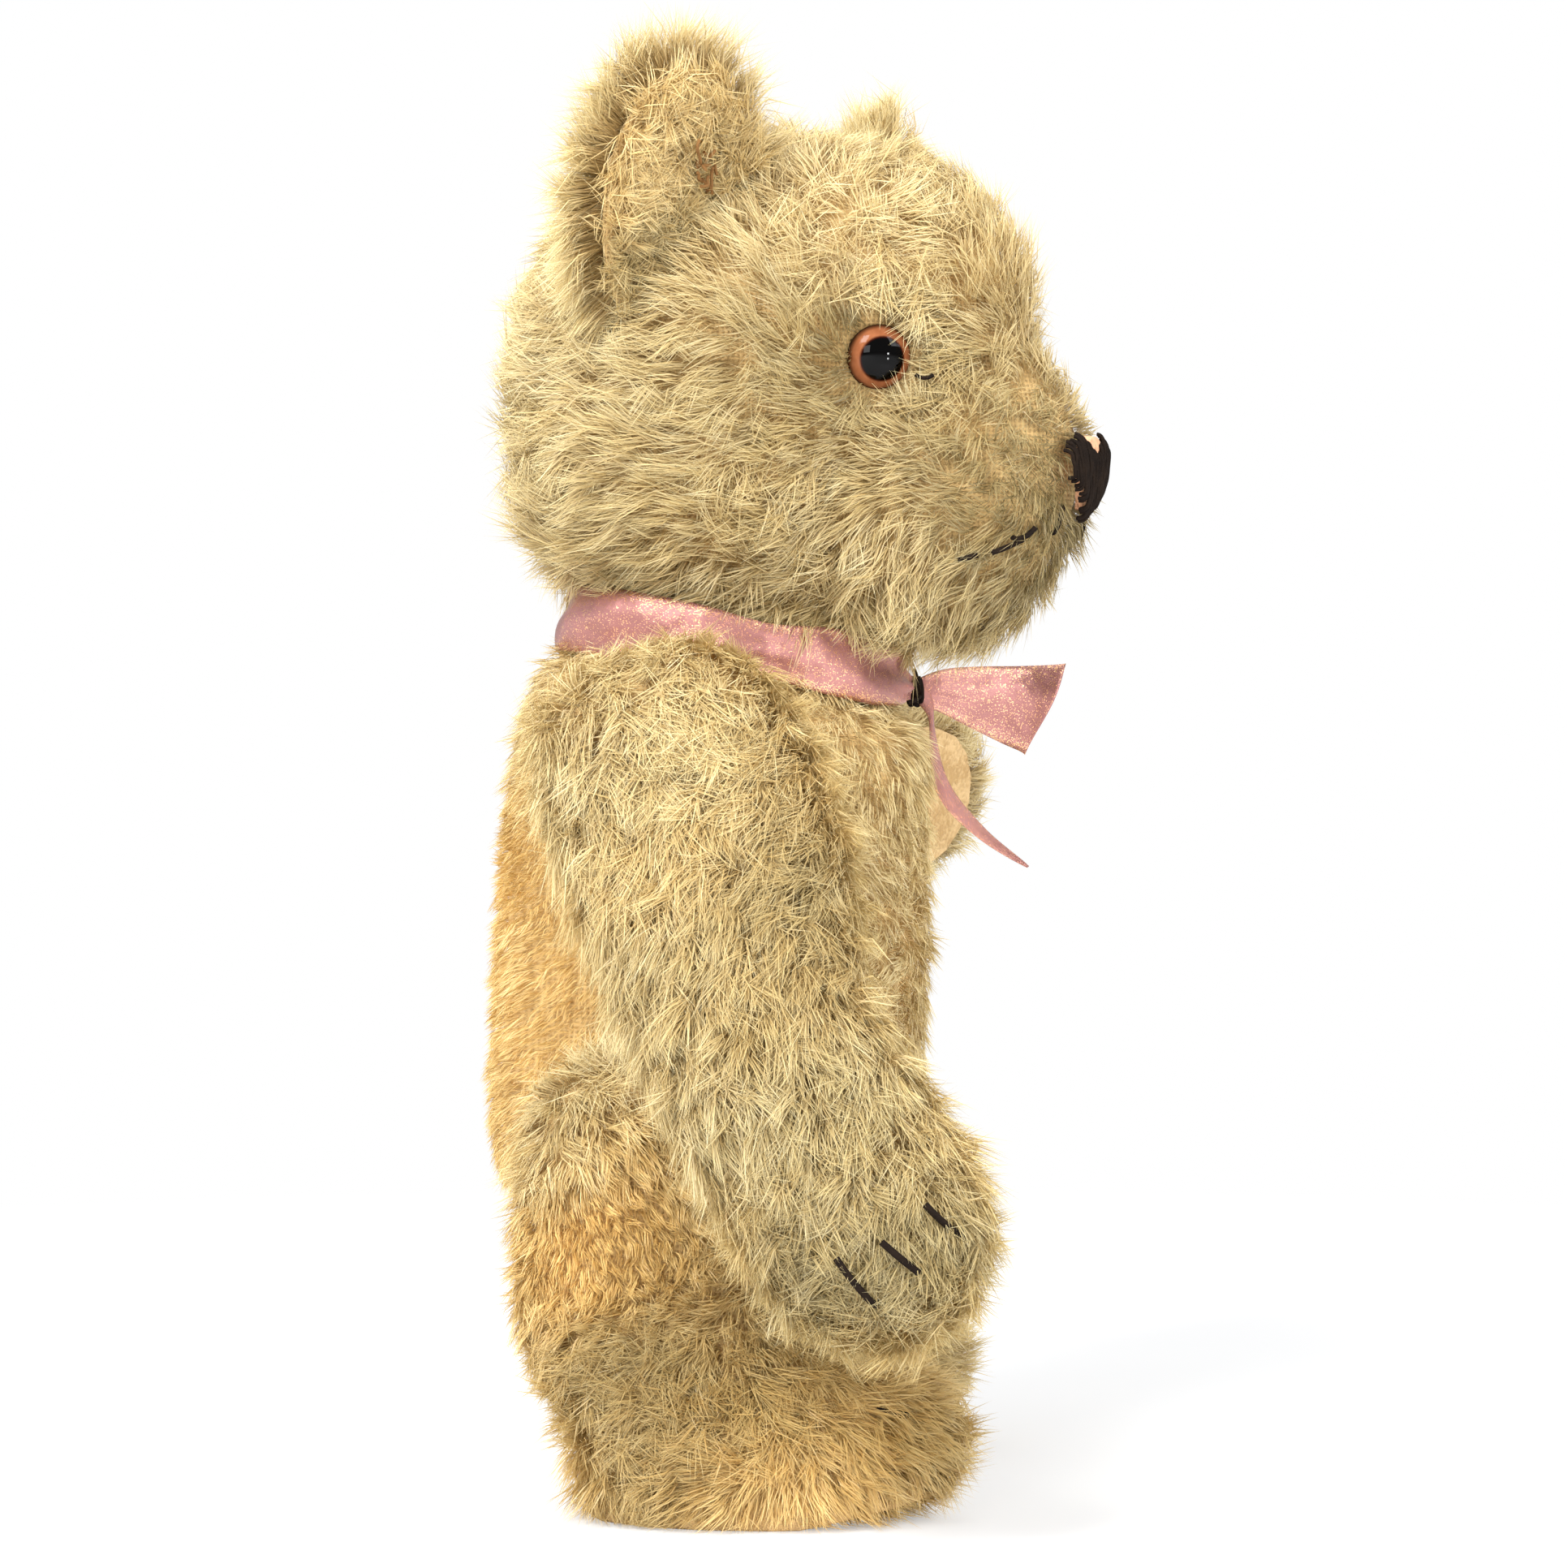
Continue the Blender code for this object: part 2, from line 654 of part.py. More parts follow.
# Glass eyes on wire shanks, sunk in the pile
def eye(name, side):
    way = Vector((side * EYE_PLACE.x, EYE_PLACE.y, EYE_PLACE.z)) - HEAD_CORE
    out = ahead(head_normal(way))
    seat = frame_on(ahead(head_point(way)) - out * EYE_SUNK, out, Vector((0, 0, 1)))
    dome = [(0, EYE_DOME)]
    for step in range(1, 5):
        angle = math.pi / 2 * step / 4
        dome.append(
            (
                EYE_RADIUS * math.sin(angle),
                EYE_RIM + (EYE_DOME - EYE_RIM) * math.cos(angle),
            )
        )
    dome += [(EYE_RADIUS, 0), (0, 0)]
    turned(name, dome, 16, GLASS, head, seat)
    bend = EYE_WIRE_LOOP
    bend_height = -GAP - EYE_WIRE - bend
    points = [Vector((bend, 0, -EYE_WIRE_LENGTH))]
    for step in range(7):
        angle = math.pi * step / 6
        points.append(Vector((bend * math.cos(angle), 0, bend_height + bend * math.sin(angle))))
    points.append(Vector((-bend, 0, -EYE_WIRE_LENGTH)))
    wire(f"{name}_wire", points, EYE_WIRE, STEEL, head, seat)
    socket = EYE_RADIUS + GAP
    hole = EYE_WIRE_LOOP + EYE_WIRE + GAP
    deep = EYE_WIRE_LENGTH + GAP
    cutter = turned(
        f"{name}_socket",
        ((0, EYE_CLEAR), (socket, EYE_CLEAR), (socket, -GAP), (hole, -GAP), (hole, -deep), (0, -deep)),
        16, GLASS, head, seat,
    )
    as_cutter(cutter)
    boolean(head_cover, cutter)
    boolean(head_stuffing, cutter)


eye("right_eye", -1)
eye("left_eye", 1)


# Nose of satin stitch, and the mouth thread below it
def flat_ball(name, frame, width, height, thickness, finish):
    shape = bmesh.new()
    bmesh.ops.create_uvsphere(shape, u_segments=16, v_segments=8, radius=0.5)
    for point in shape.verts:
        point.co = Vector((point.co.x * width, point.co.y * height, point.co.z * thickness))
    return add(name, finish_mesh(name, shape), finish, head, frame)


def nose():
    way = Vector((0, math.cos(NOSE_RISE), math.sin(NOSE_RISE)))
    out = ahead(head_normal(way))
    seat = frame_on(ahead(head_point(way)) - out * NOSE_SUNK, out, Vector((0, 0, 1)))
    flat_ball("nose_stitching", seat, NOSE_WIDTH, NOSE_HEIGHT, NOSE_THICKNESS, BLACK_THREAD)
    room = 2 * GAP
    cutter = flat_ball(
        "nose_seat", seat, NOSE_WIDTH + room, NOSE_HEIGHT + room, NOSE_THICKNESS + room, BLACK_THREAD
    )
    boolean(head_cover, as_cutter(cutter))


def mouth():
    points = []
    for step in range(-MOUTH_STEPS, MOUTH_STEPS + 1):
        turn = MOUTH_SPREAD * step / MOUTH_STEPS
        drop = MOUTH_DROP - MOUTH_FALL * abs(step / MOUTH_STEPS)
        way = Vector((math.sin(turn) * math.cos(drop), math.cos(turn) * math.cos(drop), math.sin(drop)))
        out = head_normal(way)
        points.append(ahead(head_point(way) + out * (MOUTH_THREAD + 2 * GAP)))
    wire("mouth_thread", points, MOUTH_THREAD, BLACK_THREAD, head)


nose()
mouth()


# Arms, hung from the shoulders with the swing that each has at rest
# Each row holds the share of the length, the width, the thickness, the outward bow and the forward sway
ARM_ROWS = (
    (-0.92, 0.33, 0.36, 0.0, 0.6),
    (-0.78, 0.60, 0.64, 0.0, 0.6),
    (-0.50, 0.80, 0.85, 0.0, 0.6),
    (0.0, 0.90, 0.99, 0.0, 0.6),
    (0.12, 0.92, 1.0, 0.05, 0.5),
    (0.26, 0.90, 0.99, 0.22, 0.1),
    (0.38, 0.84, 0.97, 0.48, -0.4),
    (0.48, 0.74, 0.94, 0.68, -1.0),
    (0.64, 0.75, 0.95, 0.88, -0.5),
    (0.80, 0.78, 0.94, 0.96, -0.1),
    (0.90, 0.70, 0.85, 1.0, 0.0),
    (0.965, 0.46, 0.58, 1.0, 0.0),
    (0.99, 0.20, 0.27, 1.0, 0.0),
)
ARM_REST = 0.94
PAW_ROW = 9


def arm_oval(side, row):
    share, width, thickness, bow, sway = row
    drop = share * (ARM_LENGTH if share > 0 else ARM_TOP)
    out = ARM_THICKNESS / 2 * ARM_REST + ARM_BOW * bow
    centre = ahead((side * out, ARM_SWAY * sway, -drop))
    return centre, Vector((thickness * ARM_THICKNESS / 2, 0, 0)), Vector((0, width * ARM_WIDTH / 2, 0))


def paw_face(side):
    """The slanting plane that the paw's felt lies on, as a place and the way out of the paw."""
    centre, half_thickness, _ = arm_oval(side, ARM_ROWS[PAW_ROW])
    face = abs(centre.x) - half_thickness.x + PAW_FLAT
    out = Vector((-side * math.cos(PAW_SLANT), 0, -math.sin(PAW_SLANT)))
    return Vector((side * face, centre.y, centre.z)), out


def arm_mesh(name, side, inset):
    planes = [(Vector((side * TURNING_GAP / 2, 0, 0)), Vector((-side, 0, 0))), paw_face(side)]
    ovals = [arm_oval(side, row) for row in ARM_ROWS]
    return oval_mesh(name, ovals, LIMB_SEGMENTS, lambda point: planes, inset)


def arm(side_name, side, swing):
    name = f"{side_name}_arm"
    joint_frame, upright = JOINTS[name]
    frame = upright @ Matrix.Rotation(-swing, 4, "X")
    limb = pivot(f"{name}_swing", frame)
    cover = add(f"{name}_cover", arm_mesh(f"{name}_cover", side, 0), MOHAIR, limb)
    hollow = as_cutter(add(f"{name}_hollow", arm_mesh(f"{name}_hollow", side, COVER), MOHAIR, limb))
    stuffing = add(f"{name}_stuffing", arm_mesh(f"{name}_stuffing", side, COVER + WAD_GAP), WOOD_WOOL, limb)
    boolean(cover, hollow)
    close_joint(name, ARM_DISC_RADIUS, joint_frame, limb, frame, cover, stuffing)
    place, out = paw_face(side)
    down = Vector((0, 0, -1))
    along = (down - out * down.dot(out)).normalized()
    middle = place + along * (PAW_PAD_PLACE + place.z) / math.cos(PAW_SLANT)
    seat = frame_on(middle + out * GAP, out, -along)
    felt_pad(f"{side_name}_paw_pad", PAW_PAD_LENGTH, PAW_PAD_WIDTH, PAW_PAD_THICKNESS, limb, seat)


arm("right", -1, RIGHT_ARM_SWING)
arm("left", 1, LEFT_ARM_SWING)


# Legs, which end in long feet on flat felt soles
# Each row holds the height above the hip as a share of the leg's top, the depth and the thickness
THIGH_ROWS = (
    (0.94, 0.36, 0.45),
    (0.80, 0.64, 0.72),
    (0.50, 0.86, 0.90),
    (0.0, 0.97, 1.0),
    (-0.70, 1.0, 1.02),
    (-1.20, 1.0, 1.03),
    (-1.60, 1.0, 1.04),
)
# Each row holds the height as a share of the foot's, the length, the width and how far the middle has gone forward
FOOT_ROWS = (
    (1.0, 0.88, 0.84, 0.52),
    (0.88, 0.985, 0.93, 0.82),
    (0.55, 1.0, 1.0, 1.0),
    (0.33, 0.99, 0.98, 1.0),
)
FOOT_AHEAD = 0.0250
FOOT_OUT = 0.0168
LEG_REST = 0.87


def leg_ovals(side):
    out = LEG_THICKNESS / 2 * LEG_REST
    ovals = []
    for share, depth, thickness in THIGH_ROWS:
        ovals.append(
            (
                Vector((side * out, 0, share * LEG_TOP)),
                Vector((thickness * LEG_THICKNESS / 2, 0, 0)),
                Vector((0, depth * LEG_DEPTH / 2, 0)),
            )
        )
    floor = -HIP_HEIGHT
    for share, length, width, forward in FOOT_ROWS:
        ovals.append(
            (
                ahead((side * FOOT_OUT, FOOT_AHEAD * forward, floor + share * FOOT_HEIGHT)),
                Vector((width * FOOT_WIDTH / 2, 0, 0)),
                Vector((0, length * FOOT_LENGTH / 2, 0)),
            )
        )
    bottom = floor + SOLE_THICKNESS + GAP
    for share in (1.0, 0.5):
        ovals.append(
            (
                ahead((side * FOOT_OUT, FOOT_AHEAD, bottom)),
                Vector((share * (FOOT_WIDTH / 2 - SOLE_MARGIN + GAP), 0, 0)),
                Vector((0, share * (FOOT_LENGTH / 2 - SOLE_MARGIN + GAP), 0)),
            )
        )
    return ovals


def leg_mesh(name, side, inset):
    against_torso = (Vector((side * TURNING_GAP / 2, 0, 0)), Vector((-side, 0, 0)))
    bend = ahead((0, FOOT_AHEAD + TOE_BEND, SOLE_THICKNESS + GAP - HIP_HEIGHT))
    on_sole = (bend, Vector((0, 0, -1)))
    on_toe = (bend, Vector((0, -math.sin(TOE_RISE), -math.cos(TOE_RISE))))
    ankle = FOOT_HEIGHT - HIP_HEIGHT + COVER

    def planes_at(point):
        return [against_torso] if point.z > ankle else [on_sole, on_toe]

    return oval_mesh(name, leg_ovals(side), LIMB_SEGMENTS, planes_at, inset)


def leg(side_name, side):
    name = f"{side_name}_leg"
    joint_frame, frame = JOINTS[name]
    limb = pivot(f"{name}_swing", frame)
    cover = add(f"{name}_cover", leg_mesh(f"{name}_cover", side, 0), MOHAIR, limb)
    hollow = as_cutter(add(f"{name}_hollow", leg_mesh(f"{name}_hollow", side, COVER), MOHAIR, limb))
    stuffing = add(f"{name}_stuffing", leg_mesh(f"{name}_stuffing", side, COVER + WAD_GAP), WOOD_WOOL, limb)
    boolean(cover, hollow)
    close_joint(name, LEG_DISC_RADIUS, joint_frame, limb, frame, cover, stuffing)
    seat = Matrix.Translation(ahead((side * FOOT_OUT, FOOT_AHEAD, -HIP_HEIGHT)))
    felt_pad(
        f"{side_name}_sole_pad",
        FOOT_LENGTH - 2 * SOLE_MARGIN, FOOT_WIDTH - 2 * SOLE_MARGIN, SOLE_THICKNESS,
        limb, seat, (-TOE_BEND, math.tan(TOE_RISE)),
    )


leg("right", -1)
leg("left", 1)


# Ribbon, one strip from its hanging tail round the neck to its flared end, bound at the throat
def smooth_route(stops, pieces):
    """Points along a smooth curve through the stops, as pieces for each stretch between two of them."""
    route = []
    count = len(stops)
    for i in range(count - 1):
        before = stops[max(i - 1, 0)]
        start, end = stops[i], stops[i + 1]
        after = stops[min(i + 2, count - 1)]
        for step in range(pieces):
            t = step / pieces
            route.append(
                0.5 * (2 * start + (end - before) * t
                       + (2 * before - 5 * start + 4 * end - after) * t**2
                       + (3 * start - before - 3 * end + after) * t**3)
            )
    return route + [stops[-1]]


def on_neck(turn, radius, height):
    """A point round the neck's axis. Turn 0 is the throat and a quarter turn is the right side."""
    flat = Vector((-radius * math.sin(turn), -radius * math.cos(turn), 0))
    return NECK_PLACE + Matrix.Rotation(NECK_TILT, 3, "X") @ (flat + Vector((0, 0, height)))


RIBBON_RADIUS = NECK_RADIUS + GAP + RIBBON_THICKNESS / 2 + RIBBON_EASE / 2
THROAT = on_neck(0, RIBBON_RADIUS + KNOT_RADIUS, 0)
# Both ends' routes, as left, forward and up from the throat
TAIL_ROUTE = (
    (-0.0021, 0.0240, -0.0370),
    (-0.0021, 0.0140, -0.0300),
    (-0.0016, 0.0060, -0.0210),
    (-TAIL_SIDE, 0.0035, -0.0110),
    (-TAIL_SIDE, 0.0030, -0.0035),
    (-TAIL_SIDE, 0, 0),
)
FLARE_ROUTE = (
    (TAIL_SIDE, 0, 0),
    (TAIL_SIDE, 0.0060, 0.0002),
    (0.0031, 0.0140, -0.0010),
    (0.0051, 0.0230, -0.0025),
    (0.0041, 0.0305, -0.0035),
)


def ribbon_stations():
    """Places along the strip, each with the vector from its middle to its upper edge."""
    up = NECK_AXIS
    tail = [THROAT + ahead(stop) for stop in TAIL_ROUTE]
    stations = []
    for i, place in enumerate(smooth_route(tail, 3)):
        share = i / (3 * (len(tail) - 1))
        half = ahead((0, 0.75 * (1 - share), 0.55 + 0.45 * share)).normalized()
        width = RIBBON_TAIL * (0.25 + 0.75 * min(1, 3 * share))
        width += (RIBBON_PINCH - width) * max(0, share * 4 - 3)
        stations.append((place, half * width / 2))
    bound = math.atan(TAIL_SIDE / RIBBON_RADIUS) + STRAND_GAP
    for step in range(RIBBON_TURNS + 1):
        turn = bound + 2 * (math.pi - bound) * step / RIBBON_TURNS
        near = min(turn, 2 * math.pi - turn)
        opened = min(1, near / RIBBON_BUNCHED)
        width = RIBBON_PINCH + (RIBBON_WIDTH - RIBBON_PINCH) * opened**0.8
        wave = 0.4 * RIBBON_EASE * math.sin(RIBBON_WAVES * turn)
        stations.append((on_neck(turn, RIBBON_RADIUS + wave, 0), up * width / 2))
    flare = [THROAT + ahead(stop) for stop in FLARE_ROUTE]
    for i, place in enumerate(smooth_route(flare, 3)):
        share = i / (3 * (len(flare) - 1))
        width = RIBBON_PINCH + (RIBBON_END - RIBBON_PINCH) * share**0.8
        lean = ahead((0, 0.22 * share, 1)).normalized()
        stations.append((place, lean * width / 2))
    return stations


def ribbon():
    stations = ribbon_stations()
    shape = bmesh.new()
    bmesh.ops.create_grid(shape, x_segments=len(stations) - 1, y_segments=2, size=1)
    for point in shape.verts:
        index = round((point.co.x + 1) / 2 * (len(stations) - 1))
        place, half = stations[index]
        point.co = place + half * point.co.y
    mesh = bpy.data.meshes.new("neck_ribbon")
    shape.to_mesh(mesh)
    shape.free()
    made = add("neck_ribbon", mesh, SATIN)
    thick = made.modifiers.new("thickness", "SOLIDIFY")
    thick.thickness = RIBBON_THICKNESS
    thick.offset = 0
    return made


def knot():
    bpy.ops.mesh.primitive_torus_add(
        major_segments=16, minor_segments=6, major_radius=KNOT_RADIUS - KNOT_THREAD, minor_radius=KNOT_THREAD,
        location=THROAT, rotation=(math.pi / 2, 0, 0),
    )
    made = bpy.context.active_object
    made.name = "knot_thread"
    made.data.name = "knot_thread"
    for collection in list(made.users_collection):
        collection.objects.unlink(made)
    BEAR.objects.link(made)
    made.data.materials.append(BLACK_THREAD)


ribbon()
knot()
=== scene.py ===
import json
import math

import bmesh
import bpy
import numpy as np
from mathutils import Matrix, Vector, kdtree


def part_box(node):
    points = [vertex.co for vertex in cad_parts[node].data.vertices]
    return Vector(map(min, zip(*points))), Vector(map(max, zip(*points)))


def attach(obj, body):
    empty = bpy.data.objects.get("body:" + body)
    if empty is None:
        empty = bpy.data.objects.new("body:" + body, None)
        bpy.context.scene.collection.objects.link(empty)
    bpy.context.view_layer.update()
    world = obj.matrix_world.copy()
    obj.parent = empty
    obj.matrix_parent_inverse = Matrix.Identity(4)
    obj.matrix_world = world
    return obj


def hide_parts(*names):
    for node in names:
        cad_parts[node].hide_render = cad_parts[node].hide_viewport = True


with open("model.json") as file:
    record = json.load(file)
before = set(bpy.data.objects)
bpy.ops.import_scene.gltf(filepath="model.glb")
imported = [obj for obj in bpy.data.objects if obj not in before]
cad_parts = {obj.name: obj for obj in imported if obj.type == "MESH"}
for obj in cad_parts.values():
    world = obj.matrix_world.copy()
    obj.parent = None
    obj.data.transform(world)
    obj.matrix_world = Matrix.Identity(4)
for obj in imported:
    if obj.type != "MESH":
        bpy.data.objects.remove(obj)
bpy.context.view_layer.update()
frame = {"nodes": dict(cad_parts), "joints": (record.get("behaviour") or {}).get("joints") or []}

bpy.ops.object.select_all(action="DESELECT")
bpy.context.scene.view_settings.view_transform = "Standard"


# Camera, where the photograph was taken: at the bear's right side, a little behind it, level with its middle
# Its frame is 1931 pixels wide, and a slope of 1 across the view is PIXELS_PER_SLOPE pixels.
UP = Vector((0, 0, 1))
CAMERA_PLACE = Vector((-0.8640, 0.1877, 0.1435))
CAMERA_WAY = Vector((0.978, -0.208, 0)).normalized()
CAMERA_RIGHT = CAMERA_WAY.cross(UP)
FRAME_WIDTH = 1931
FRAME_MIDDLE = (965.5, 966)
PIXELS_PER_SLOPE = 5142
SENSOR_WIDTH = 36

camera_data = bpy.data.cameras.new("camera")
camera_data.sensor_width = SENSOR_WIDTH
camera_data.lens = PIXELS_PER_SLOPE / FRAME_WIDTH * SENSOR_WIDTH
camera = bpy.data.objects.new("camera", camera_data)
camera.location = CAMERA_PLACE
camera.rotation_euler = CAMERA_WAY.to_track_quat("-Z", "Y").to_euler()
bpy.context.scene.collection.objects.link(camera)
bpy.context.scene.camera = camera


# Light, four soft boxes round the bear
# The strongest stands high behind the camera's left shoulder, where the bright nape and back say it was.
LIGHT_AIM = Vector((0, 0, 0.14))


def soft_box(name, bearing, rise, distance, size, power, aim=LIGHT_AIM):
    """A square lamp that looks at the bear. Bearing 0 is in front of the bear and 270 at its right."""
    turn, lift = math.radians(bearing), math.radians(rise)
    way = Vector((math.sin(turn) * math.cos(lift), -math.cos(turn) * math.cos(lift), math.sin(lift)))
    lamp = bpy.data.lights.new(name, "AREA")
    lamp.size = size
    lamp.energy = power
    made = bpy.data.objects.new(name, lamp)
    made.location = aim + way * distance
    made.rotation_euler = way.to_track_quat("Z", "Y").to_euler()
    bpy.context.scene.collection.objects.link(made)


soft_box("key_box", bearing=222, rise=42, distance=1.3, size=0.55, power=22)
soft_box("low_box", bearing=242, rise=10, distance=1.3, size=0.4, power=3.2)
soft_box("front_box", bearing=318, rise=30, distance=1.4, size=0.7, power=13)
soft_box("far_box", bearing=80, rise=50, distance=1.4, size=0.9, power=8)


# Floor and sky, white as in the photograph
# The camera sees both as plain white. Near the bear the floor keeps part of its own light and shade,
# so that the bear's soft shadow shows on it.
class Signal:
    """A shader socket that works in Python sums, each operator adding its Math node."""

    def __init__(self, look, socket):
        self.look = look
        self.socket = socket

    def math(self, operation, *terms, clamp=False):
        settings = {"operation": operation, "use_clamp": clamp}
        return self.look.node("ShaderNodeMath", settings, dict(enumerate(terms)))

    def __add__(self, other):
        return self.math("ADD", self, other)

    def __radd__(self, other):
        return self.math("ADD", other, self)

    def __sub__(self, other):
        return self.math("SUBTRACT", self, other)

    def __rsub__(self, other):
        return self.math("SUBTRACT", other, self)

    def __mul__(self, other):
        return self.math("MULTIPLY", self, other)

    def __rmul__(self, other):
        return self.math("MULTIPLY", other, self)

    def __gt__(self, other):
        return self.math("GREATER_THAN", self, other)

    def __abs__(self):
        return self.math("ABSOLUTE", self)

    def clamped(self):
        return self.math("MULTIPLY", self, 1, clamp=True)

    def part(self, name):
        return Signal(self.look, self.socket.node.outputs[name])


class Look:
    """The nodes of a material or a world. finish sets or links the inputs of its surface shader."""

    def __init__(self, owner):
        owner.use_nodes = True
        self.owner = owner
        self.tree = owner.node_tree
        kinds = {node.type: node for node in self.tree.nodes}
        self.surface = kinds.get("BSDF_PRINCIPLED") or kinds.get("BACKGROUND")
        self.out = kinds.get("OUTPUT_MATERIAL") or kinds.get("OUTPUT_WORLD")
        self.shader = Signal(self, self.surface.outputs[0])

    def set_input(self, socket, value):
        if isinstance(value, Signal):
            self.tree.links.new(value.socket, socket)
        elif socket.type == "RGBA" and len(value) == 3:
            socket.default_value = (*value, 1)
        else:
            socket.default_value = value

    def node(self, kind, settings=None, inputs=None, output=0):
        made = self.tree.nodes.new(kind)
        for setting, value in (settings or {}).items():
            setattr(made, setting, value)
        for socket, value in (inputs or {}).items():
            self.set_input(made.inputs[socket], value)
        return Signal(self, made.outputs[output])

    def place(self):
        return self.node("ShaderNodeTexCoord", output="Object")

    def attribute(self, name, output="Fac"):
        return self.node("ShaderNodeAttribute", {"attribute_name": name}, output=output)

    def noise(self, vector, scale, detail=3):
        return self.node("ShaderNodeTexNoise", {}, {"Vector": vector, "Scale": scale, "Detail": detail})

    def ramp(self, value, *stops):
        made = self.node("ShaderNodeValToRGB", {}, {"Fac": value})
        elements = made.socket.node.color_ramp.elements
        while len(elements) < len(stops):
            elements.new(0.5)
        for element, (place, colour) in zip(elements, stops):
            element.position = place
            element.color = (*colour, 1) if isinstance(colour, tuple) else (colour, colour, colour, 1)
        return made

    def blend(self, share, one, other):
        return self.node("ShaderNodeMix", {"data_type": "RGBA"}, {0: share, 6: one, 7: other}, output=2)

    def bump(self, height, distance):
        return self.node("ShaderNodeBump", {}, {"Height": height, "Distance": distance})

    def mix(self, share, one, other):
        """Sends a mix of two shaders to the output in place of the surface shader alone."""
        mixed = self.node("ShaderNodeMixShader", {}, {0: share, 1: one, 2: other})
        self.set_input(self.out.inputs["Surface"], mixed)

    def finish(self, **values):
        for socket, value in values.items():
            self.set_input(self.surface.inputs[socket.replace("_", " ")], value)
        return self.owner


SKY_STRENGTH = 0.50
sky = Look(bpy.data.worlds.new("white_sky"))
bpy.context.scene.world = sky.finish(Color=(0.95, 0.97, 1.0), Strength=SKY_STRENGTH)
rays = sky.node("ShaderNodeLightPath")
seen = sky.node("ShaderNodeBackground", {}, {"Color": (1, 1, 1), "Strength": 1.0})
sky.mix(rays.math("MAXIMUM", rays, rays.part("Is Transmission Ray")), sky.shader, seen)

FLOOR_SIZE = 12.0
FLOOR_OWN_SHADE = 0.6
SHADE_REACH = 2.0
SHADE_FULL = 0.08
SHADE_GONE = 0.30
bpy.ops.mesh.primitive_plane_add(size=FLOOR_SIZE)
floor = bpy.context.active_object
floor.name = "floor"
white = Look(bpy.data.materials.new("white_floor"))
white.finish(Base_Color=(0.88, 0.885, 0.89), Roughness=0.7)
glow = white.node("ShaderNodeEmission", {}, {"Color": (1, 1, 1), "Strength": 1.0})
far = white.node("ShaderNodeVectorMath", {"operation": "LENGTH"}, {0: white.place()}, output="Value")
own_shade = white.ramp(far * (1 / SHADE_REACH), (SHADE_FULL, FLOOR_OWN_SHADE), (SHADE_GONE, 0.0))
white.mix(white.node("ShaderNodeLightPath") * (1 - own_shade), white.shader, glow)
floor.data.materials.append(white.owner)


# Torso, a bag of woven mohair filled hard with wood wool
# Its cloth is one closed skin, on which the pile stands as separate hairs that lean and lock together.
# The pile of the back is worn down to short golden plush.
MM = 0.001
SKIN_VOXEL = 3.0 * MM
SKIN_ROUNDING = 12
MERGE_WITHIN = 0.01 * MM
PILE_ROOM = 2.0 * MM


def vectors_of(mesh, what, kind="co"):
    flat = np.empty(len(getattr(mesh, what)) * 3)
    getattr(mesh, what).foreach_get(kind, flat)
    return flat.reshape(-1, 3)


def skin_of(name, nodes, body, sink=PILE_ROOM, voxel=SKIN_VOXEL):
    """One closed skin round CAD solids that lie in each other, rounded off and sunk to make room for pile."""
    bpy.ops.object.select_all(action="DESELECT")
    for node in nodes:
        copy = bpy.data.objects.new(name, frame["nodes"][node].data.copy())
        bpy.context.scene.collection.objects.link(copy)
        copy.data.materials.clear()
        copy.select_set(True)
        bpy.context.view_layer.objects.active = copy
    if len(nodes) > 1:
        bpy.ops.object.join()
    skin = bpy.context.active_object
    skin.name = skin.data.name = name
    bpy.ops.object.mode_set(mode="EDIT")
    bpy.ops.mesh.select_all(action="SELECT")
    bpy.ops.mesh.remove_doubles(threshold=MERGE_WITHIN)
    bpy.ops.object.mode_set(mode="OBJECT")
    remesh = skin.modifiers.new("voxels", "REMESH")
    remesh.mode = "VOXEL"
    remesh.voxel_size = voxel
    remesh.use_smooth_shade = True
    bpy.ops.object.modifier_apply(modifier=remesh.name)
    keep_largest(skin)
    smooth = skin.modifiers.new("rounding", "SMOOTH")
    smooth.factor = 0.5
    smooth.iterations = SKIN_ROUNDING
    bpy.ops.object.modifier_apply(modifier=smooth.name)
    bpy.ops.object.mode_set(mode="EDIT")
    bpy.ops.mesh.select_all(action="SELECT")
    bpy.ops.mesh.normals_make_consistent(inside=False)
    bpy.ops.transform.shrink_fatten(value=-sink)
    bpy.ops.object.mode_set(mode="OBJECT")
    skin.data.materials.append(GROUND)
    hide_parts(*nodes)
    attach(skin, body)
    return skin


def keep_largest(skin):
    """Removes every closed pocket inside the skin, which leaves its outer sheet."""
    shape = bmesh.new()
    shape.from_mesh(skin.data)
    seen = set()
    largest = set()
    for start in shape.verts:
        if start in seen:
            continue
        island, edge = {start}, [start]
        while edge:
            for link in edge.pop().link_edges:
                fresh = set(link.verts) - island
                island |= fresh
                edge.extend(fresh)
        seen |= island
        largest = max(largest, island, key=len)
    bmesh.ops.delete(shape, geom=[v for v in shape.verts if v not in largest], context="VERTS")
    shape.to_mesh(skin.data)
    shape.free()


def unit(vectors):
    return vectors / np.maximum(np.linalg.norm(vectors, axis=1), 1e-9)[:, None]


def soft_step(value, low, high):
    t = np.clip((value - low) / (high - low), 0, 1)
    return t * t * (3 - 2 * t)


def wander(points, size, seed, waves=7):
    """Smooth random vectors, one for each point, that change over about that size."""
    draw = np.random.default_rng(seed)
    field = np.zeros((len(points), 3))
    for _ in range(waves):
        wave = draw.normal(size=3) / size
        phase = draw.uniform(0, 2 * math.pi, 3)
        field += np.sin((points @ wave)[:, None] + phase)
    return field / math.sqrt(waves / 2)


